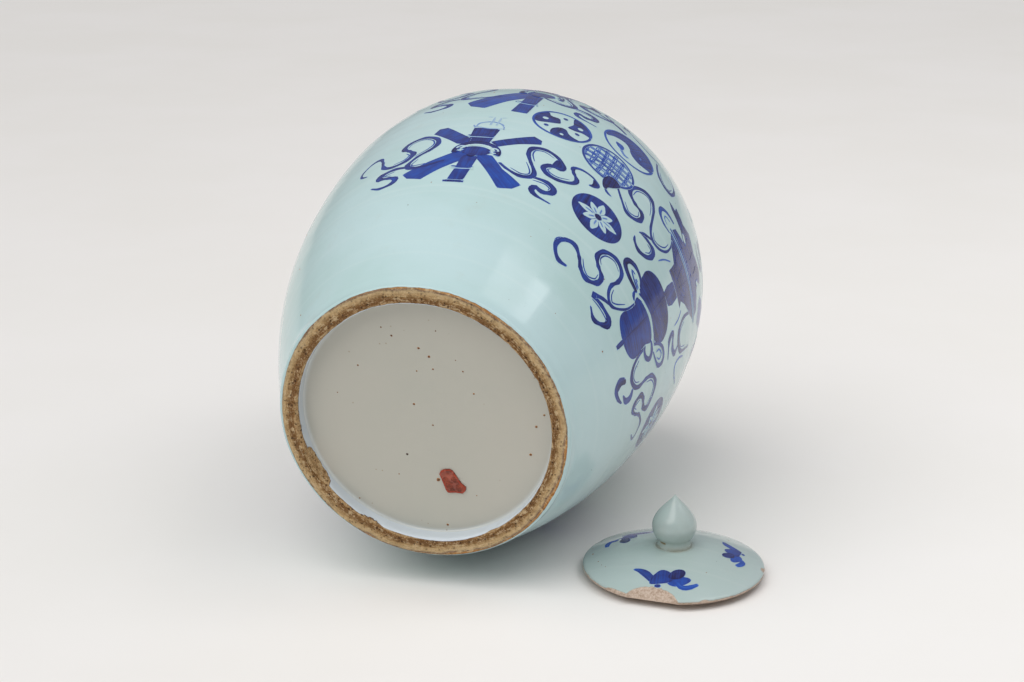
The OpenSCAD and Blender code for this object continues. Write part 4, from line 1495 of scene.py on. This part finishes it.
def paint_jar():
    laid = []
    for i, motif in enumerate(SIDE_MOTIFS):
        for side, turn in (("front", 0), ("far", FAR_TURN)):
            if motif is far_flower and side == "far":
                continue
            b = Brushwork(jar_surface, jar_grid, laid, 100 + i, shift=(turn, 0))
            motif(b)
            b.finish(f"painted_{motif.__name__}_{side}", "jar", PAINTED)
    for i, (angle, lift) in enumerate(UPPER_BUNDLES):
        b = Brushwork(jar_surface, jar_grid, laid, 200 + i, shift=(angle + 3.4, 110), size=(0.95, 1.45),
                      pivot=SCROLLS_MIDDLE)
        scrolls(b, whole=False)
        b.finish(f"painted_upper_scrolls_{i}", "jar", PAINTED)
        b = Brushwork(jar_surface, jar_grid, laid, 210 + i, shift=(angle + 1, 103 + lift))
        left_ribbon(b)
        b.shift = Vector((angle - 4, 113))
        right_ribbon(b)
        b.finish(f"painted_upper_ribbons_{i}", "jar", PAINTED)


# Sprigs on the lid: degrees round, millimetres from the middle, turn, size, and 1, or -1 for a mirrored one
SPRIGS = ((-85, 37.0, 4, 1.0, 1), (8, 36, 96, 0.82, -1), (158, 34.5, 238, 0.85, 1))


def sprig(b, hand):
    """A small sprig in free blots: a tapering tail, three rounded leaves, a trailing wisp and a dot."""
    def faced(places):
        return [(hand * x, y) for x, y in places]

    b.stroke(faced([(-6.4, -4.4), (-10.4, -2), (-14.6, 2.8), (-18.4, 5.8), (-22.6, 7.6)]), 4.6, tone=0.84,
             taper=(1.2, 0.15), swell=0.1)
    b.wash(faced([(-3.6, -1.2), (0.4, -6.8), (6, -7.6), (10.4, -4.8), (13.4, -1), (11.6, 1.4), (7, 1.4),
                  (2, 0.4)])[::hand], tone=0.66)
    b.wash(faced([(-11.4, -6.4), (-10, 0.2), (-6, 5.8), (-1.6, 5.6), (2.4, 1.6), (1.8, -3.8),
                  (-4, -6.2)])[::hand], tone=0.84, layer=3)
    b.wash(faced([(-0.8, -0.4), (1, 5), (5, 7.8), (8.8, 7), (9.4, 3.2), (6.6, -0.8), (2.4, -2)])[::hand],
           tone=0.98, layer=4)
    b.stroke(faced([(4.4, -3.8), (8, -7.6), (12.6, -6.8), (18.2, -2.6)]), 2.9, tone=0.66, taper=(1, 0.7),
             swell=0.2)
    b.wash(oval((hand * -6.2, -7.9), 2.4, 1.6, steps=12), tone=0.88, layer=2)


def paint_lid():
    for i, (angle, away, turn, size, hand) in enumerate(SPRIGS):
        middle = Vector((away * math.cos(math.radians(angle)), away * math.sin(math.radians(angle))))
        twist = Matrix.Rotation(math.radians(turn), 2)

        def surface(x, y, raised=0.0):
            return lid_surface(*(middle + twist @ Vector((x, y))), raised)

        b = Brushwork(surface, lid_grid, [], 300 + i, size=(size, size))
        sprig(b, hand)
        b.finish(f"painted_sprig_{i}", "lid", PAINTED_SHADED_LID)


# ---------------------------------------------------------------- floor, light and camera

def add_floor():
    """A pale floor that reaches well past every view."""
    reach, steps = 7.0, 24
    mesh = bpy.data.meshes.new("floor")
    work = bmesh.new()
    bmesh.ops.create_grid(work, x_segments=steps, y_segments=steps, size=reach)
    work.to_mesh(mesh)
    work.free()
    mesh.materials.append(floor_surface())
    floor = bpy.data.objects.new("floor", mesh)
    bpy.context.scene.collection.objects.link(floor)
    floor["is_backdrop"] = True


def add_softbox(name, place, target, width, depth, power, colour):
    light = bpy.data.lights.new(name, "AREA")
    light.shape, light.size, light.size_y = "RECTANGLE", width, depth
    light.energy, light.color = power, colour
    lamp = bpy.data.objects.new(name, light)
    bpy.context.scene.collection.objects.link(lamp)
    way = Vector(target) - Vector(place)
    lamp.matrix_world = Matrix.Translation(place) @ way.to_track_quat("-Z", "Y").to_matrix().to_4x4()
    return lamp


def add_light():
    middle = (0, 0, 0.12)
    sun = bpy.data.lights.new("soft_daylight", "SUN")
    sun.energy, sun.angle, sun.color = 1.95, math.radians(64), (1.0, 0.99, 0.97)
    lamp = bpy.data.objects.new("soft_daylight", sun)
    bpy.context.scene.collection.objects.link(lamp)
    lamp.matrix_world = Vector((0.45, 0.5, -1)).to_track_quat("-Z", "Y").to_matrix().to_4x4()
    add_softbox("high_window", (1.37, 0.27, 1.61), middle, 0.4, 0.34, 1.5, (0.96, 0.98, 1.0))
    add_softbox("pale_sky", (0.98, 0.06, 1.93), middle, 0.9, 0.7, 2.9, (1.0, 0.98, 0.97))
    fill = add_softbox("fill", (1.0, -0.6, 2.0), middle, 2.2, 2.0, 14, (0.98, 0.99, 1.0))
    fill.visible_glossy = False
    world = bpy.data.worlds.new("studio")
    world.use_nodes = True
    background = world.node_tree.nodes["Background"]
    background.inputs["Color"].default_value = (0.93, 0.95, 1.0, 1.0)
    background.inputs["Strength"].default_value = 0.32
    bpy.context.scene.world = world


def add_camera():
    """The camera stands in front and to the right, looking a little down and to the left."""
    place = (0.2686, -1.1670, 0.4866)
    yaw, pitch = math.radians(13.72), math.radians(-17.25)
    camera = bpy.data.cameras.new("camera")
    camera.lens = 66.9
    camera.sensor_width = 36
    camera.clip_end = 50
    eye = bpy.data.objects.new("camera", camera)
    eye.location = place
    eye.rotation_euler = (math.pi / 2 + pitch, 0, yaw)
    bpy.context.scene.collection.objects.link(eye)
    bpy.context.scene.camera = eye


def write_sizes():
    boxes = {"cad": cad_box, "visual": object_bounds()}
    {name: [list(corner) for corner in box] for name, box in boxes.items()}


bpy.context.scene.view_settings.view_transform = "Standard"
neck_seat = make_wall()
make_neck(neck_seat)
make_foot()
make_base()
make_wax()
make_specks()
make_lid()
make_flange()
make_knob()
paint_jar()
paint_lid()
add_floor()
add_light()
add_camera()
write_sizes()
